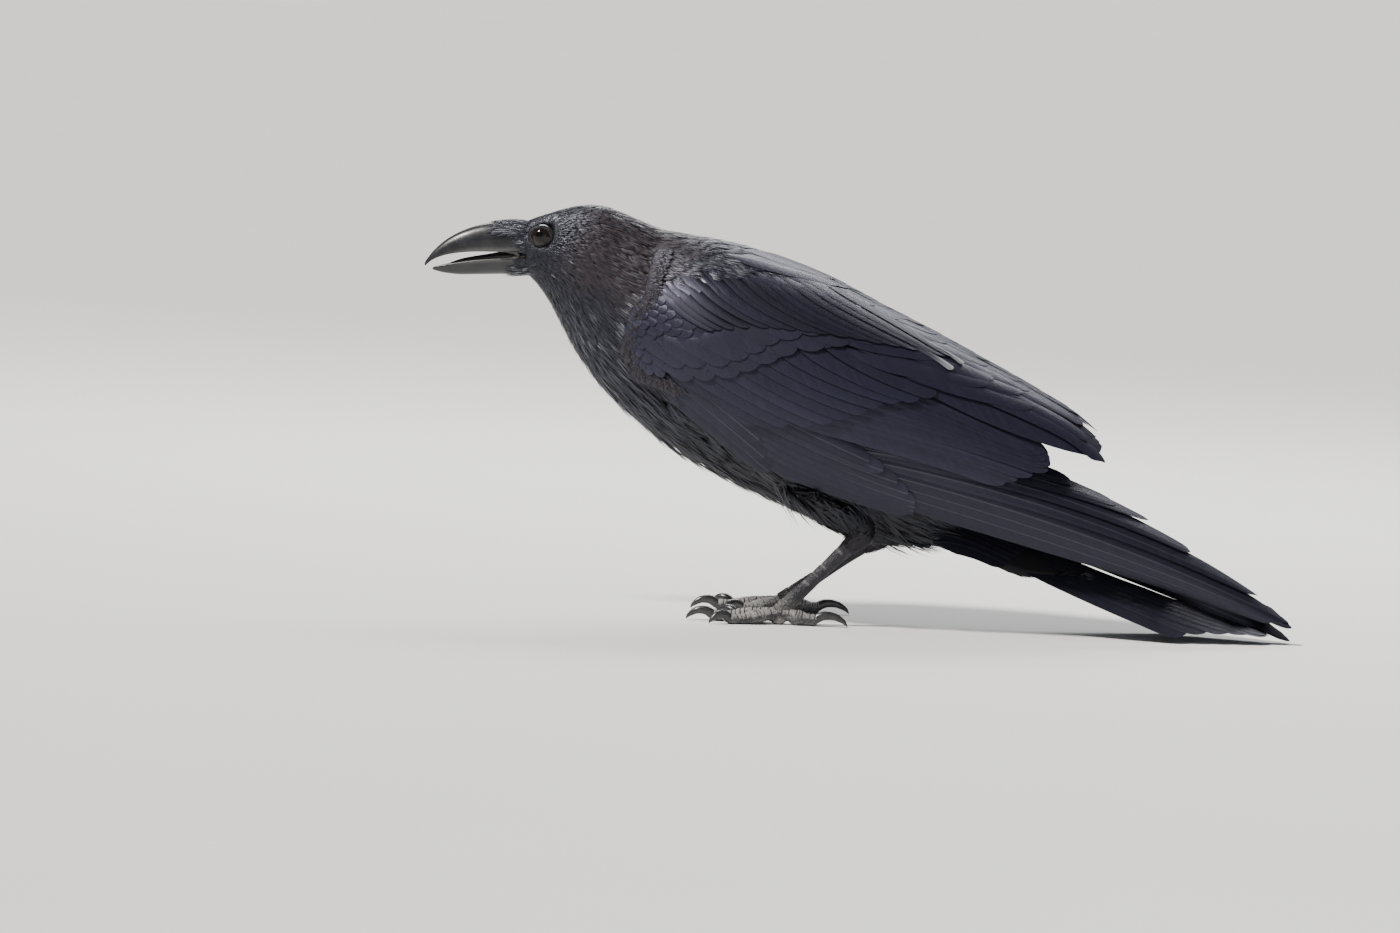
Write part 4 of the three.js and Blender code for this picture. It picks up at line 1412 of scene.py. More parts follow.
def mantle():
    """Soft glossy feathers over the upper back, whose sides overhang the shoulder feathers."""
    grid = oval_grid(ARM, 6, 96)
    corners = triangles_of(grid.reshape(-1, 3), grid_faces(*grid.shape[:2])[:, ::-1])

    def reach(points):
        at, drop, _ = body_place(points)
        limit = np.radians(np.interp(at, [6.0, 6.3, 7.4, 8.6, 9.8], [72, 66, 52, 30, 0]))
        return at, drop, limit

    def chosen(points):
        at, drop, limit = reach(points)
        return (at > 5.2) & (at < 11.0) & (drop < limit)

    def spacing(points):
        return np.interp(body_place(points)[0], [5.2, 6.2, 9], [2.6, 3.8, 6.0])

    starts = scattered(corners, spacing, 13, keep=chosen)
    rng = np.random.default_rng(11)
    at, drop, limit = reach(starts)
    size = np.interp(at, [5.5, 9], [0.8, 1.25]) * rng.uniform(0.85, 1.15, len(starts))
    edge = smooth(drop / limit, 0.6, 1)
    swing = rng.normal(0, 0.09, len(starts))

    def lie(points, normals):
        return swung(body_lie(points, normals), normals, swing)

    coat = Coat()
    warm = np.clip(1.1 - smooth(at, 5.4, 7.6), 0, 1) * rng.uniform(0.3, 0.85, len(starts))
    tone = rng.normal(0.05, 0.08, len(starts)) + 0.55 * smooth(at, 5.6, 7.6)
    # Painted sheen: a lighter band along the mantle's lower edge, where it overhangs the shoulder
    # feathers.
    tone += 0.6 * smooth(drop / limit, 0.4, 0.8) * smooth(at, 5.8, 6.8) * (1 - smooth(at, 8.0, 9.5))
    depth = np.interp(at, [5.2, 6.4, 7.6], [-0.5, 0.5, 1.2]) + 0.8 * edge * smooth(at, 5.6, 6.6)
    tufts(coat, ARMS[LEFT], starts, lie, 20 * size, 6, 3.9 * size, depth, 8, rng, tone=tone,
          warm=warm, base=-1.4, rows=5, fine=1.7, stray=0.05, thick=0.15, unrest=0.45)
    coat.piece("mantle_feathers", PLUMAGE, "plumage")


long_back_feathers(LEFT)
long_back_feathers(RIGHT)
middle_back_feathers()
mantle()
bend_plumes(LEFT)
bend_plumes(RIGHT)

# ---- Body plumage ----------------------------------------------------------------------------


def thigh_share(points):
    """How far a point belongs to a thigh, and the way down that thigh."""
    best = np.zeros(len(points))
    way = np.zeros((len(points), 3))
    for side, leg in LEGS.items():
        top = np.array([THIGH_TOP[0], side * THIGH_TOP[1], THIGH_TOP[2]])
        end = np.array([leg["ankle"][0] + 2, side * leg["ankle"][2], leg["ankle"][1]])
        axis = end - top
        share = ((points - top) @ axis) / (axis @ axis)
        foot = top + np.clip(share, 0, 1)[:, None] * axis
        gap = np.linalg.norm(points - foot, axis=1) - np.interp(share, [0, 0.5, 1], [24, 17, 7])
        weight = smooth(share, 0.45, 0.7) * (1 - smooth(gap, 0, 6))
        way[weight > best] = unit(axis)
        best = np.maximum(best, weight)
    return best, way


def coat_lie(points, normals):
    """Back along the body, round the eyes, and down the thighs."""
    lie = body_lie(points, normals)
    eyes = EYE * np.stack([np.ones(len(points)), np.sign(points[:, 1]), np.ones(len(points))], -1)
    away = points - eyes
    far = np.linalg.norm(away, axis=1)
    lie += unit(away) * (0.9 * (1 - smooth(far, 9, 17)))[:, None]
    share, way = thigh_share(points)
    lie = lie * (1 - share)[:, None] + way * share[:, None]
    return in_surface(lie, normals)


def warmth(points):
    """How brown the coat is: the nape, the cheeks and the sides of the neck."""
    at, _, height = body_place(points)
    nape = smooth(at, 2.4, 3.6) * (1 - smooth(at, 6.4, 7.6)) * smooth(height, 0.35, 0.65)
    cheek = (1 - smooth(np.hypot(points[:, 0] + 138, points[:, 2] - 217), 8, 20)) * 0.6
    return np.clip(nape * 0.9 + cheek, 0, 1)


def sheen(points):
    """Tone of the coat, which lowers its roughness and lightens its colour: raised as painted sheen and
    highlight on the crown, the throat and before the bend of the wing, raised on the back towards the
    mantle, and lowered as painted shade on the belly.
    """
    at, _, height = body_place(points)
    crown = smooth(height, 0.8, 0.97) * (1 - smooth(at, 4, 6))
    throat = (1 - smooth(height, 0.2, 0.5)) * smooth(at, 2.2, 3.4) * (1 - smooth(at, 5.4, 7))
    bend = 1 - smooth(np.hypot(points[:, 0] + 106, (points[:, 2] - 188) * 0.6), 5, 16)
    belly = (1 - smooth(height, 0.2, 0.5)) * smooth(at, 7, 8.5)
    back = smooth(at, 4.8, 6.2) * (1 - smooth(at, 7, 8)) * smooth(height, 0.4, 0.7)
    # Painted highlight adds on the crown, the throat and the bend; painted shade takes tone off the
    # belly.
    return 0.38 + 0.4 * crown + 0.3 * throat + 0.35 * bend - 0.25 * belly + 0.3 * back


def painted_glint_places(points):
    """Where painted glints of pale highlight go: on the forehead, the crown's edge, the cheek and the
    side of the neck, by the wing.
    """
    forehead = 1 - smooth(np.hypot(points[:, 0] + 157, points[:, 2] - 243), 4, 12)
    neck = 1 - smooth(np.hypot(points[:, 0] + 108, (points[:, 2] - 186) * 0.55), 5, 13)
    crown = smooth(points[:, 2] + 0.12 * (points[:, 0] + 130), 243, 248) * (points[:, 0] < -100)
    cheek = 1 - smooth(np.hypot(points[:, 0] + 146, points[:, 2] - 220), 7, 17)
    return np.clip(0.65 * forehead + 0.5 * neck + 0.4 * crown + 0.4 * cheek, 0, 0.9)


def body_tract(name, seed, chosen, *, longer=1.0, wider=1.0, denser=1.0, stray=0.12, lifted=1.0,
               swerve=0.09, gloss_and_painted_sheen=0.0, unrest=1.0, mottle=0.15):
    """Plumes over the part of the skin that chosen picks."""

    def spacing(points):
        return coat_at(points)[:, 4] / denser

    starts = scattered(triangles_of(skin_points, skin_quads), spacing, seed, keep=chosen)
    rng = np.random.default_rng(seed + 1)
    coat_here = coat_at(starts)
    thigh, _ = thigh_share(starts)
    size = (1 - 0.35 * thigh) * rng.uniform(0.85, 1.15, len(starts))
    lengths = coat_here[:, 0] * longer * size
    swing = rng.normal(0, swerve, len(starts))

    def lie(points, normals):
        return swung(coat_lie(points, normals), normals, swing)

    line, normals = march(SKIN, starts, lie, lengths, 5)
    coat = Coat()
    blades = np.clip(np.round(coat_here[:, 2]), 2, 7).astype(int)
    # Tone: the region's painted sheen and shade, an extra raise that also lowers roughness, random
    # mottle, and painted glints on about half the plumes.
    tone = np.clip(sheen(starts) + gloss_and_painted_sheen + rng.normal(0, mottle, len(starts)), 0, 1.8)
    tone += (rng.random(len(starts)) < 0.5) * painted_glint_places(starts)
    warm = warmth(starts) * rng.uniform(0.4, 1.1, len(starts))
    unwrap = body_unwrap(starts)
    for number in np.unique(blades):
        group = blades == number
        plumes(coat, line[group], normals[group], coat_here[group, 1] * wider,
               coat_here[group, 3] * lifted, int(number), rng, unwrap[group], tone=tone[group],
               warm=np.clip(warm[group], 0, 1), stray=stray, rows=4, unrest=unrest)
    coat.piece(name, PLUMAGE, "plumage")


def shown(points):
    """Body that the wings don't hide."""
    hidden = inside(WING_COVER, points[:, 0], points[:, 2]) & (points[:, 0] < 92)
    top = (points[:, 0] > -64) & (points[:, 0] < 92) & (points[:, 2] > 200)
    return ~(hidden | top)


def head_part(points):
    """The head, without the bare skin round the eyes."""
    at, _, _ = body_place(points)
    mirrored = np.stack([points[:, 0], np.abs(points[:, 1]), points[:, 2]], -1)
    far = np.linalg.norm(mirrored - EYE, axis=1)
    return (at < 4.0) & (far > BARE_LID) & (points[:, 0] > FACE_X)


def neck_part(points):
    """From the nape and throat to the shoulders."""
    at, _, _ = body_place(points)
    return (at >= 4.0) & (at < 7.6) & shown(points)


def trunk_part(points):
    """Breast, belly and sides, without the thighs."""
    at, _, _ = body_place(points)
    return (at >= 7.6) & shown(points) & (thigh_share(points)[0] < 0.3)


def thigh_part(points):
    """The feathered thighs."""
    return shown(points) & (thigh_share(points)[0] >= 0.3)


def throat_part(points):
    """Where the long hackles of the throat grow."""
    at, _, height = body_place(points)
    return (at > 2.3) & (at < 7.2) & (height < 0.42) & shown(points)


def vent_part(points):
    """The underside behind the legs."""
    _, _, height = body_place(points)
    return (points[:, 0] > 45) & (points[:, 0] < 102) & (height < 0.3) & shown(points)


def flank_part(points):
    """A band along the lower edge of the folded wing."""
    below = np.interp(points[:, 0], *zip(*WING_LOWER_EDGE)) - points[:, 2]
    return (points[:, 0] > -84) & (points[:, 0] < 30) & (below > -7) & (below < 9)


body_tract("plumage_head", 31, head_part, longer=1.15, denser=1.1, unrest=0.6, mottle=0.25)
body_tract("plumage_neck", 41, neck_part, longer=1.35, denser=1.05, unrest=0.6, mottle=0.2)
body_tract("plumage_trunk", 51, trunk_part, longer=1.1, denser=0.9)
body_tract("plumage_thighs", 61, thigh_part, denser=1.3, stray=0.3, swerve=0.16)
body_tract("throat_hackles", 71, throat_part, longer=1.5, wider=0.75, denser=0.62, lifted=1.5,
           gloss_and_painted_sheen=0.3, unrest=2.0)
body_tract("flank_tufts", 91, flank_part, longer=1.3, denser=0.8, lifted=3.3, stray=0.25)
body_tract("vent_tufts", 81, vent_part, longer=1.25, wider=0.8, denser=0.6, stray=0.35, lifted=2.1,
           swerve=0.2, unrest=2.0)

# ---- Bill ------------------------------------------------------------------------------------


def bill_round(turn):
    """Shares of half width and of height round a mandible, from one cutting edge to the other."""
    return np.sign(np.cos(turn)) * np.abs(np.cos(turn)) ** 0.8, np.sin(turn) ** 0.9


def mandible(name, rows, up, hollow, node):
    """One mandible: a smooth ridge, bulging sides, a sharp cutting edge and a hollow inner face."""
    last = len(rows) - 1
    at = last * (1 - (1 - np.linspace(0, 1, 110)) ** 1.4)
    x, high, low, half = between(rows, at).T
    point = np.sqrt(1 - 0.98 * np.clip((at - last + 0.35) / 0.35, 0, 1) ** 2)
    middle = (high + low) / 2
    high = middle + (high - middle) * point
    low = middle + (low - middle) * point
    half = half * point
    ridge, edge = (high, low) if up > 0 else (low, high)
    turn = np.linspace(0, np.pi, 37)
    aside, climb = bill_round(turn)
    y = half[:, None] * aside
    z = edge[:, None] + (ridge - edge)[:, None] * climb
    crease = np.exp(-((np.sin(turn)[None, :] - 0.22) / 0.12) ** 2)
    fade = smooth(x, -222, -200)[:, None]
    y = y * (1 - 0.035 * crease * fade)
    inner = np.linspace(-0.86, 0.86, 15)
    depth = hollow * np.minimum(np.abs(ridge - edge), 9)[:, None] * (1 - (inner / 0.9) ** 2)
    inner_y = half[:, None] * inner
    inner_z = edge[:, None] + up * depth
    rings = np.stack([
        np.repeat(x[:, None], turn.size + inner.size, 1),
        np.concatenate([y, inner_y], 1),
        np.concatenate([z, inner_z], 1),
    ], -1)
    rim = np.exp(-(np.sin(turn) / 0.13) ** 2)[None, :] * smooth(x, -224, -195)[:, None]
    rim = np.concatenate([rim, 0 * inner_y], 1)
    lofted(name, rings, HORN, "bill", node, tone=0 * rim + 0.5, warm=rim * 0.75)


mandible("bill_upper_horn", UPPER_BILL, 1, 0.22, "bill_upper")
mandible("bill_lower_horn", LOWER_BILL, -1, 0.3, "bill_lower")


def tube(points, radii, count, around, flatten=1.0, relief=None):
    """Rings of a limb through points with a radius at each; relief scales it by (t, angle)."""
    t = np.linspace(0, 1, count)
    line = between(points, t * (len(points) - 1))
    radius = between(np.array(radii)[:, None], t * (len(radii) - 1))[:, 0]
    forward = unit(np.gradient(line, axis=0))
    sideways = unit(np.cross([0, 0, 1.0], forward))
    up = np.cross(forward, sideways)
    angle = all_round(around)
    radius = radius[:, None] * np.ones(around)
    if relief is not None:
        radius = radius * relief(t[:, None], angle[None, :])
    side_shift = sideways[:, None] * (radius * np.cos(angle) * flatten)[..., None]
    up_shift = up[:, None] * (radius * np.sin(angle))[..., None]
    return line[:, None] + side_shift + up_shift, t, angle


def tongue():
    """The tongue, and the dark floor of the mouth that it grows from."""
    points = [[-160, 0, 217.2], [-171, 0, 217.0], [-181, 0, 216.2], [-193, 0, 214.6], [-206, 0, 212],
              [-215, 0, 209.8]]
    rings, t, _ = tube(points, [9.2, 9.3, 8.2, 5.2, 3.4, 0.9], 60, 32)
    middle = rings.mean(1, keepdims=True)
    flat = np.interp(t, [0, 0.3, 0.6, 1], [0.36, 0.34, 0.36, 0.6])[:, None]
    rings[..., 2] = middle[..., 2] + (rings[..., 2] - middle[..., 2]) * flat
    lofted("tongue", rings, MOUTH, "bill")


tongue()


def gape(side):
    """The fleshy fold at the corner of the mouth."""
    points = [[-184, side * 8.8, 219.3], [-179, side * 9.6, 219.2], [-174.5, side * 10.2, 218.6],
              [-173.0, side * 10.3, 217.2], [-174.5, side * 9.9, 215.8], [-179, side * 9.2, 215.1],
              [-184, side * 8.3, 214.8]]

    def folds(t, angle):
        return 1 + 0.14 * np.sin(angle * 3 + 5 * t) + 0.12 * np.sin(38 * t)

    rings, _, _ = tube(points, [0.2, 0.55, 0.95, 1.15, 0.95, 0.55, 0.2], 70, 20, relief=folds)
    lofted(f"gape_{SIDE_NAMES[side]}", rings, LID, "bill", warm=0.25)


# ---- Eyes ------------------------------------------------------------------------------------

CORNEA = 0.035  # how far the eye bulges in front, as a share of its radius


def eye_frame(side):
    """Middle of the eye, the way it looks, and two directions across."""
    centre = EYE * [1, side, 1]
    look = unit(np.array([-0.24, side * 1.0, 0.06]))
    across = unit(np.cross([0, 0, 1.0], look))
    return centre, look, across, np.cross(look, across)


def eyeball(side):
    """A ball whose clear front bulges; its value tone tells pupil, iris and white apart."""
    centre, look, across, up = eye_frame(side)
    polar = np.linspace(0.0, np.pi, 49)[1:-1]
    turn = all_round(64)
    radius = EYE_RADIUS * (1 + CORNEA * np.exp(-((polar / 0.55) ** 2)))
    ring = across[None] * np.cos(turn)[:, None] + up[None] * np.sin(turn)[:, None]
    rings = centre + radius[:, None, None] * (
        look * np.cos(polar)[:, None, None] + ring[None] * np.sin(polar)[:, None, None])
    points, faces = closed_loft(rings)
    points[-2] = centre + look * EYE_RADIUS * (1 + CORNEA)
    points[-1] = centre - look * EYE_RADIUS
    tone = np.repeat((polar / np.pi)[:, None], turn.size, 1)
    values = {"tone": np.concatenate([tone.ravel(), [0, 1]])}
    name = SIDE_NAMES[side]
    piece = mesh_object(f"eyeball_{name}", points, faces, None, values)
    install(piece, EYE_BROWN, "eye", f"eye_{name}")


def eyelids(side):
    """A ring of bare skin round the eye: a beaded rim, a groove, a fold, and skin out to the coat."""
    centre, look, across, up = eye_frame(side)
    turn = all_round(144)
    profile = np.array([
        [5.5, 4.1], [5.4, 4.9], [5.48, 5.18], [5.62, 5.26], [5.76, 5.1], [5.9, 4.85], [6.05, 4.92],
        [6.25, 4.95], [6.42, 4.65], [6.6, 4.62], [6.8, 4.4], [7.0, 3.95], [7.3, 3.5], [7.7, 2.6],
        [8.1, 1.6], [8.1, 0.6], [7.4, -0.8], [6.4, 2.0],
    ])
    profile = between(profile, np.linspace(0, len(profile) - 1, 90))
    high = np.sin(turn)
    squeeze = 1.03 - 0.09 * np.abs(high) - 0.04 * smooth(high, 0.2, 1) + 0.09 * np.cos(turn) ** 8
    front = profile[:, 1] > 3.4
    ridge = np.exp(-(((profile[:, 0] - 5.6) / 0.16) ** 2)) * front
    fold = np.exp(-(((profile[:, 0] - 6.2) / 0.25) ** 2)) * front
    outer = smooth(profile[:, 0], 5.85, 6.2) * front
    wobble = 0.05 * np.sin(46 * turn) * ridge[:, None]
    wobble = wobble + 0.09 * outer[:, None] * np.sin(31 * turn + 3 * np.sin(5 * turn))
    wobble += 0.07 * np.sin(19 * profile[:, :1] + 2.5 * np.sin(3 * turn)) * outer[:, None]
    brow = 0.45 * smooth(high, 0.1, 0.9) * fold[:, None]
    uneven = 1 + 0.018 * np.sin(3 * turn + 1) + 0.012 * np.sin(7 * turn)
    radius = profile[:, 0][:, None] * squeeze * (1 + (uneven - 1) * outer[:, None])
    rise = profile[:, 1][:, None] + wobble + brow
    ring = across * np.cos(turn)[:, None] + up * np.sin(turn)[:, None]
    rings = centre + ring[None] * radius[..., None] + look * rise[..., None]
    count, around = rings.shape[:2]
    faces = grid_faces(count, around)
    last = (count - 1) * around
    k = np.arange(around)
    seam = np.stack([last + k, last + (k + 1) % around, (k + 1) % around, k], -1)
    points = rings.reshape(-1, 3)
    rim = ridge[:, None] * (0.35 + 0.65 * smooth(-high, -0.2, 0.7))
    rim = rim + 0.3 * fold[:, None] * smooth(high, 0, 1)
    faces = outward(points - centre, [np.concatenate([faces, seam])])
    piece = mesh_object(f"eyelids_{SIDE_NAMES[side]}", points, faces, None, {"warm": rim.ravel()})
    install(piece, LID, "eye")


for side in (LEFT, RIGHT):
    gape(side)
    eyeball(side)
    eyelids(side)

# ---- Legs and feet ---------------------------------------------------------------------------


def plates(t, count):
    """How far along its own scute a place is, from 0 to 1; the scutes aren't all as long."""
    return (t * count + 0.22 * np.sin(t * count * 1.7) + 0.15 * np.sin(t * count * 2.9 + 1)) % 1.0


def gap_mark(t, count):
    """1 in the furrow between two scutes."""
    part = plates(t, count)
    return np.exp(-((np.minimum(part, 1 - part) / 0.075) ** 2))


def tarsus(side):
    """The bare leg, with a row of scutes down its front."""
    leg = LEGS[side]
    ankle_x, ankle_z, ankle_y = leg["ankle"]
    top = np.array([ankle_x + 3, side * ankle_y, ankle_z + 3])
    bottom = np.array([leg["ball"][0], side * leg["ball"][1], BALL_HEIGHT])
    points = top + (bottom - top) * np.linspace(0, 1, 6)[:, None]
    scutes = 7

    def relief(t, angle):
        front = smooth(np.sin(angle), -0.3, 0.1)
        step = 0.07 * (1 - plates(t, scutes)) * front
        furrow = 0.06 * gap_mark(t, scutes) * front
        groove = 0.05 * np.exp(-((np.sin(angle) + 0.32) / 0.1) ** 2)
        keel = 0.08 * smooth(-np.sin(angle), 0.6, 1)
        return 1 + step - furrow - groove + keel

    rings, t, angle = tube(points, TARSUS_RADII, 110, 40, flatten=0.78, relief=relief)
    front = smooth(np.sin(angle), -0.3, 0.1)[None, :]
    furrow = gap_mark(t, scutes)[:, None] * front
    dusty = smooth(t, 0.55, 1.0)[:, None] * np.ones(angle.size) * 0.8
    name = SIDE_NAMES[side]
    lofted(f"tarsus_skin_{name}", rings, SHANK, "leg_skin", f"tarsus_{name}", tone=furrow, warm=dusty)


def ankle_feathers(side):
    """The feathered end of the thigh, which hides the ankle and ends in loose tips on the tarsus."""
    leg = LEGS[side]
    ankle_x, ankle_z, ankle_y = leg["ankle"]
    ankle = np.array([ankle_x, side * ankle_y, ankle_z])
    down = unit(np.array([leg["ball"][0], side * leg["ball"][1], BALL_HEIGHT]) - ankle)
    points = np.array([ankle + [-13, -side * 2, 22], ankle + [-3, 0, 9], ankle + [1, 0, 1.5],
                       ankle + down * 6, ankle + down * 11])
    rings, _, _ = tube(points, [4, 8.0, 8.0, 6.2, 4.2], 40, 40, flatten=0.85)
    name = SIDE_NAMES[side]
    lofted(f"ankle_{name}", rings, UNDER, "plumage")
    flat = rings.reshape(-1, 3)
    quads = outward(flat, [grid_faces(*rings.shape[:2])])[0]
    form = Form(flat, quads)
    starts = scattered(triangles_of(flat, quads), lambda spots: np.full(len(spots), 1.7), 97 + side)
    rng = np.random.default_rng(98 + side)
    count = len(starts)
    swing = rng.normal(0, 0.12, (count, 3))

    def lie(points, normals):
        return in_surface(down + swing, normals)

    coat = Coat()
    tufts(coat, form, starts, lie, rng.uniform(7, 12, count), 5, np.full(count, 1.6),
          rng.uniform(0.7, 1.8, count), 4, rng, tone=rng.normal(0.3, 0.12, count),
          warm=rng.uniform(0, 0.6, count), stray=0.4)
    coat.piece(f"ankle_feathers_{name}", PLUMAGE, "plumage")


def toe_place(toe, side):
    """The way a toe points, and what gives places along it."""
    leg = LEGS[side]
    angle = math.radians(leg["turn"] + side * toe["angle"])
    ahead = np.array([-math.cos(angle), math.sin(angle), 0.0])
    ball = np.array([leg["ball"][0], side * leg["ball"][1], 0.0])

    def at(share, height):
        return ball + ahead * toe["length"] * share + [0, 0, height]

    return ahead, at


def toe_rings(toe, side):
    """The rings of one toe, with its furrows and how dusty it is."""
    _, at = toe_place(toe, side)
    root, tip = toe["root"], toe["tip"]
    sole = tip - SOLE_SINK
    points = [at(0, BALL_HEIGHT - 1.5), at(0.25, root + 1.2), at(0.5, root - SOLE_SINK + 0.3),
              at(0.75, sole + 0.5), at(1, sole + 0.2)]
    waist = 0.84
    radii = [root, root * waist, root, tip * waist, tip * 1.06]
    scutes = max(6, round(toe["length"] / 3.3))

    def relief(t, angle):
        high = smooth(np.sin(angle), 0.0, 0.35)
        step = 0.1 * (1 - plates(t, scutes)) - 0.09 * gap_mark(t, scutes)
        pads = 0.06 * np.sin(t * 3 * 2 * np.pi) + 0.05 * np.sin(t * 80) * np.sin(angle * 8)
        round_end = np.sqrt(np.clip(1 - smooth(t, 0.87, 1.0), 0.02, 1))
        return (1 + step * high + pads * (1 - high)) * round_end

    rings, t, angle = tube(points, radii, 14 * scutes, 30, relief=relief)
    rings[..., 2] = np.maximum(rings[..., 2], SOLE_GAP)
    high = smooth(np.sin(angle), 0.1, 0.4)[None, :]
    furrow = gap_mark(t, scutes)[:, None] * high
    dusty = np.ones_like(furrow) * (0.55 + 0.45 * high)
    return rings, furrow, dusty


def foot(side):
    """The ball of the foot and its toes."""
    leg = LEGS[side]
    points, faces, tones, warms, total = [], [], [], [], 0
    for toe in TOES.values():
        rings, furrow, dusty = toe_rings(toe, side)
        made, parts = closed_loft(rings)
        points.append(made)
        faces += [part + total for part in parts]
        tones.append(padded(furrow))
        warms.append(padded(dusty))
        total += len(made)
    polar = np.linspace(0, np.pi, 30)[1:-1]
    turn = all_round(40)
    lumps = 1 + 0.035 * np.sin(polar * 14)[:, None] * np.sin(turn * 11)[None, :]
    ring = np.stack([1.15 * np.cos(turn), 0.95 * np.sin(turn), 0 * turn], -1)
    spots = ring[None] * np.sin(polar)[:, None, None] + [0, 0, 1] * np.cos(polar)[:, None, None]
    centre = np.array([leg["ball"][0], side * leg["ball"][1], BALL_HEIGHT - 2.6])
    rings = centre + spots * lumps[..., None] * (BALL_RADIUS - 1.4)
    rings[..., 2] = np.maximum(rings[..., 2], SOLE_GAP)
    made, parts = closed_loft(rings)
    points.append(made)
    faces += [part + total for part in parts]
    tones.append(np.zeros(len(made)))
    warms.append(np.full(len(made), 0.8))
    name = SIDE_NAMES[side]
    values = {"tone": np.concatenate(tones), "warm": np.concatenate(warms)}
    piece = mesh_object(f"foot_skin_{name}", np.concatenate(points), faces, None, values)
    install(piece, TOE, "leg_skin", f"foot_{name}")


def claw(side, toe_name):
    """A claw leaves the toe's end, arches over and comes down to the floor at its point."""
    toe = TOES[toe_name]
    ahead, at = toe_place(toe, side)
    start = at(1, toe["tip"] - SOLE_SINK + 0.6) - ahead * 2.4

    def reach(share, height):
        return start * [1, 1, 0] + ahead * toe["claw"] * share + [0, 0, height]

    z = start[2]
    points = [start, reach(0.24, z + 2.5), reach(0.56, z + 2.4), reach(0.84, z - 0.4), reach(0.96, 0.6)]

    def keel(t, angle):
        return 1 + 0.06 * np.cos(2 * angle) - 0.1 * smooth(-np.sin(angle), 0.7, 1.0)

    rings, t, angle = tube(points, [3.3, 3.2, 2.6, 1.55, 0.3], 48, 24, flatten=0.8, relief=keel)
    rings[..., 2] = np.maximum(rings[..., 2], CLAW_GAP)
    worn = np.repeat(smooth(t, 0.9, 1.0)[:, None], angle.size, 1)
    name = f"{SIDE_NAMES[side]}_{toe_name}"
    lofted(f"claw_horn_{name}", rings, CLAW, "claw", f"claw_{name}", tone=0.6, warm=worn * 0.5)


for side in (LEFT, RIGHT):
    tarsus(side)
    ankle_feathers(side)
    foot(side)
    for toe_name in TOES:
        claw(side, toe_name)

# ---- Bristles --------------------------------------------------------------------------------


def bill_lines(rows, up, roots, tips, turns, lean):
    """Lines along a mandible: stations of root and tip, and the angle round it, 90 at its ridge."""
    t = np.linspace(0, 1, 8)
    at = np.clip(roots[:, None] + (tips - roots)[:, None] * t, 0, len(rows) - 1)
    turn = np.clip(np.radians(turns[:, None] + lean[:, None] * t), 0.06, np.pi - 0.06)
    x, high, low, half = np.moveaxis(between(rows, at), -1, 0)
    ridge, edge = (high, low) if up > 0 else (low, high)
    aside, climb = bill_round(turn)
    line = np.stack([x, half * aside, edge + (ridge - edge) * climb], -1)
    normals = unit(np.stack([0 * x, np.cos(turn) / half, up * np.sin(turn) / np.abs(ridge - edge)], -1))
    return line, normals


def face_form():
    """Bill and skin together, for the hairs that lie over both."""
    points, total = [skin_points], len(skin_points)
    triangles = [skin_quads[:, [0, 1, 2]], skin_quads[:, [0, 2, 3]]]
    for name in ("bill_upper_horn", "bill_lower_horn"):
        spots, corners = read_mesh(bpy.data.objects[name].data)
        points.append(spots)
        triangles.append(corners + total)
        total += len(spots)
    return Form(np.concatenate(points), np.concatenate(triangles))


def bristles():
    """Stiff hairs that lie forward over the nostrils, and others at the chin and the gape."""
    rng = np.random.default_rng(81)
    coat = Coat()
    tracts = [
        # rows, up, count, root stations, lengths in stations, degrees from the cutting edge, lift
        (UPPER_BILL, 1, 320, (0.0, 1.1), (1.0, 1.8), (33, 90), 1.1),
        (UPPER_BILL, 1, 340, (0.7, 1.6), (0.9, 1.5), (30, 90), 0.9),
        (LOWER_BILL, -1, 210, (0.0, 1.0), (0.5, 1.3), (25, 90), 1.2),
        (UPPER_BILL, 1, 70, (0.2, 0.8), (0.4, 0.9), (5, 34), 0.8),
    ]
    for rows, up, count, root_at, span, angles, lift in tracts:
        turns = rng.uniform(*angles, count)
        outer = np.where(np.arange(count) % 2, 1, -1)
        turns = np.where(outer > 0, turns, 180 - turns)
        roots = rng.uniform(*root_at, count)
        tips = roots + rng.uniform(*span, count)
        lean = outer * rng.uniform(-6, 8, count) * (up > 0)
        line, normals = bill_lines(rows, up, roots, tips, turns, lean)
        # Tone 1.7 on some hairs paints pale glints of highlight on them; the other tones are their own
        # varied tone.
        plumes(coat, line, normals, rng.uniform(0.45, 0.8, count), lift * rng.uniform(0.4, 1.6, count),
               2, rng, body_unwrap(line[:, 0]), tone=rng.choice([0.15, 0.5, 1.0, 1.7], count),
               warm=np.zeros(count), rows=5, tip=0.15, stray=0.3, fine=0.8, base=-0.1, thick=0.2)
    form = face_form()
    lores = 620
    sides = np.where(np.arange(lores) % 2, 1.0, -1.0)
    starts = np.stack([rng.uniform(-171, -161, lores), sides * rng.uniform(8, 19, lores),
                       rng.uniform(203, 238, lores)], -1)
    away = np.linalg.norm(starts * [1, 0, 1] - EYE * [1, 0, 1], axis=1)
    starts = starts[away > EYE_RADIUS]
    count = len(starts)
    swing = rng.normal(0, 0.16, (count, 3)) * [0, 1, 1]

    def lie(points, normals):
        return in_surface(np.array([-1.0, 0, -0.1]) + swing, normals)

    tufts(coat, form, starts, lie, rng.uniform(5, 11, count), 6, rng.uniform(0.4, 0.8, count),
          rng.uniform(0.5, 1.6, count), 2, rng, tone=rng.choice([0.2, 0.4, 0.9], count),
          warm=np.zeros(count), rows=5, tip=0.1, stray=0.3, fine=0.8, base=-0.3, thick=0.2)
    coat.piece("bristles", PLUMAGE, "plumage")


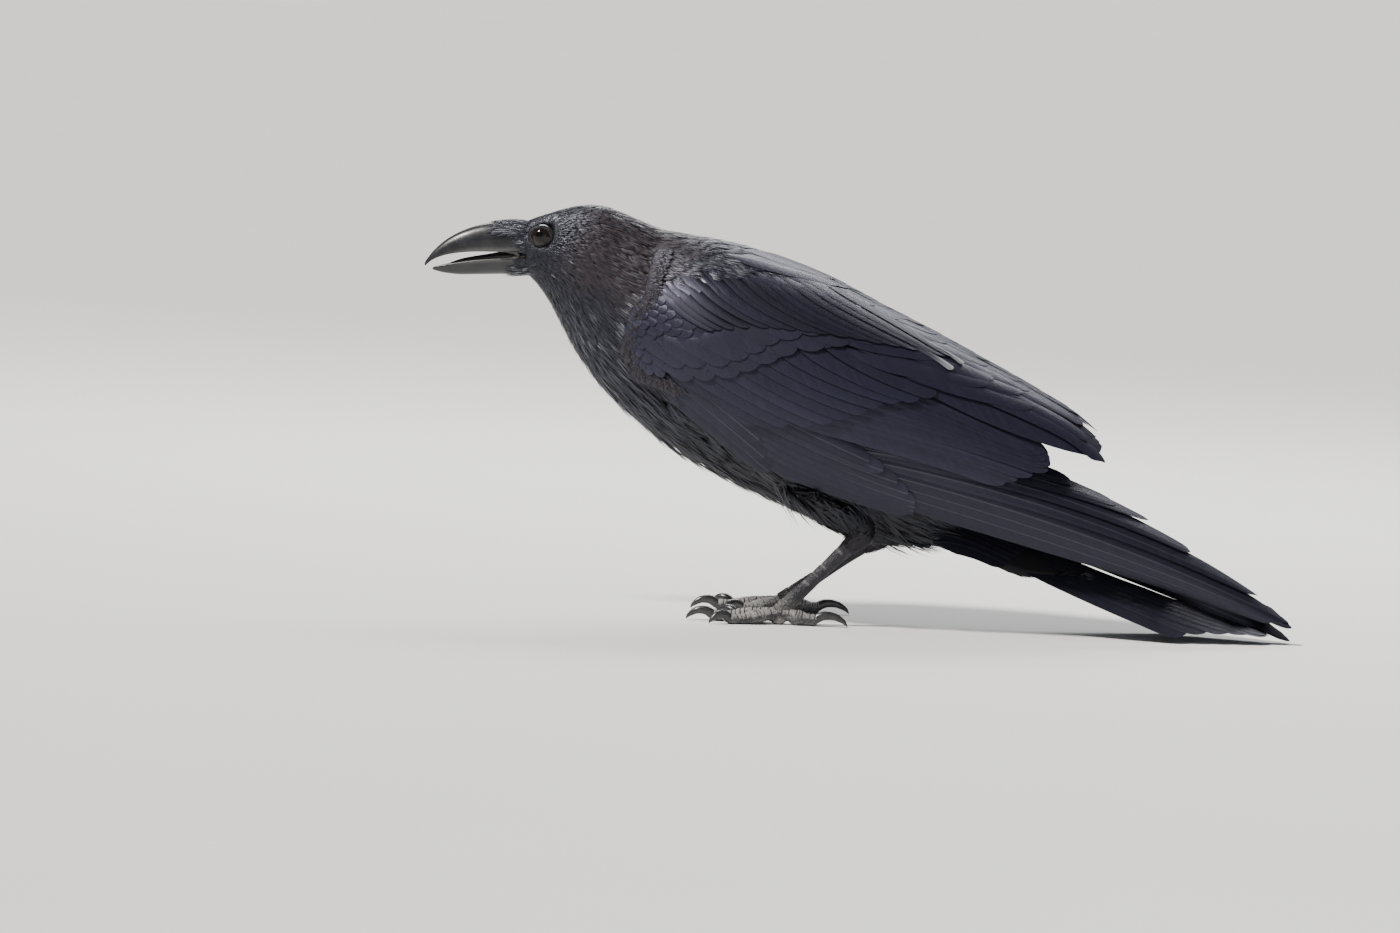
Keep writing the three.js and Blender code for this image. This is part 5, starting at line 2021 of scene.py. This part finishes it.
def eye_feathers():
    """The smallest feathers, close round the lids."""
    rng = np.random.default_rng(83)
    coat = Coat()
    for side in (LEFT, RIGHT):
        centre, look, across, up = eye_frame(side)
        count = 420
        angle = rng.uniform(0, 2 * np.pi, count)
        radius = np.sqrt(rng.uniform(6.35**2, 10.5**2, count))
        spots = centre + look * 4 + radius[:, None] * (
            across * np.cos(angle)[:, None] + up * np.sin(angle)[:, None])
        line, normals = march(SKIN, spots, coat_lie, rng.uniform(2.8, 4.6, count), 4)
        plumes(coat, line, normals, np.full(count, 0.55), rng.uniform(0.5, 0.9, count), 2, rng,
               body_unwrap(line[:, 0]), tone=rng.normal(0.45, 0.15, count), warm=np.zeros(count),
               tip=0.2, fine=1.2, base=-0.2, thick=0.15)
    coat.piece("eye_feathers", PLUMAGE, "plumage")


eye_feathers()
bristles()

# ---- Studio ----------------------------------------------------------------------------------


def studio_floor():
    """A wide round floor under the bird."""
    turn = all_round(96)
    radii = np.array([0.2, 1.0, 3.0, 9.0, 27.0, 60.0])
    rings = np.stack([
        radii[:, None] * np.cos(turn), radii[:, None] * np.sin(turn), 0 * radii[:, None] + 0 * turn,
    ], -1) / MM
    rows, around = rings.shape[:2]
    points = np.concatenate([rings.reshape(-1, 3), [[0, 0, 0]]])
    k = np.arange(around)
    hub = np.stack([k, (k + 1) % around, k * 0 + rows * around], -1)
    floor = mesh_object("floor", points, [grid_faces(rows, around)[:, ::-1], hub])
    floor.data.materials.append(floor_finish())


def lamp(name, kind, place, facing, power, colour, **settings):
    """A light that shines along facing."""
    light = bpy.data.lights.new(name, kind)
    light.energy = power
    light.color = colour
    for setting, value in settings.items():
        setattr(light, setting, value)
    holder = bpy.data.objects.new(name, light)
    holder.location = place
    holder.rotation_euler = facing.to_track_quat("-Z", "Y").to_euler()
    bpy.context.scene.collection.objects.link(holder)


def soft_light(name, place, size, power, colour):
    """An even panel of light that faces the bird."""
    lamp(name, "AREA", place, AIM - Vector(place), power, colour, shape="RECTANGLE", size=size[0],
         size_y=size[1])


def sun(name, towards, softness, power, colour):
    """A broad even light from far away; softness is its width in degrees."""
    lamp(name, "SUN", (0, 0, 0), -Vector(towards), power, colour, angle=math.radians(softness))


def camera():
    """A long lens to the bird's left, a little above it, rolled with the forward lean."""
    elevation = math.radians(5)
    roll = math.radians(3)
    target = (np.array([-54.1, 0, 91.8]) + SHIFT) * MM
    distance = 6.0
    frame_width = 0.868
    back = np.array([0, -math.cos(elevation), math.sin(elevation)])
    level = np.array([1.0, 0, 0])
    upright = np.array([0, math.sin(elevation), math.cos(elevation)])
    right = level * math.cos(roll) + upright * math.sin(roll)
    up = upright * math.cos(roll) - level * math.sin(roll)
    lens = bpy.data.cameras.new("camera")
    lens.sensor_width = 36
    lens.lens = lens.sensor_width * distance / frame_width
    view = bpy.data.objects.new("camera", lens)
    turn = Matrix(np.stack([right, up, back], 1).tolist())
    view.matrix_world = Matrix.Translation(target + back * distance) @ turn.to_4x4()
    bpy.context.scene.collection.objects.link(view)
    bpy.context.scene.camera = view


def surroundings(colour, strength):
    """The even light of the room."""
    world = bpy.data.worlds.new("studio")
    world.use_nodes = True
    background = world.node_tree.nodes["Background"]
    background.inputs["Color"].default_value = (*colour, 1)
    background.inputs["Strength"].default_value = strength
    bpy.context.scene.world = world


studio_floor()
surroundings((0.9, 0.93, 1.0), 0.27)
AIM = Vector((-0.05, 0.0, 0.15))
sun("key", (-0.7, -0.42, 1.0), 10, 5.4, (1.0, 0.97, 0.93))
soft_light("rim", (0.1, 1.2, 1.3), (1.4, 0.5), 26, (1.0, 1.0, 1.0))
soft_light("fill", (0.5, -1.8, 0.5), (1.4, 1.0), 3, (0.9, 0.94, 1.0))
camera()
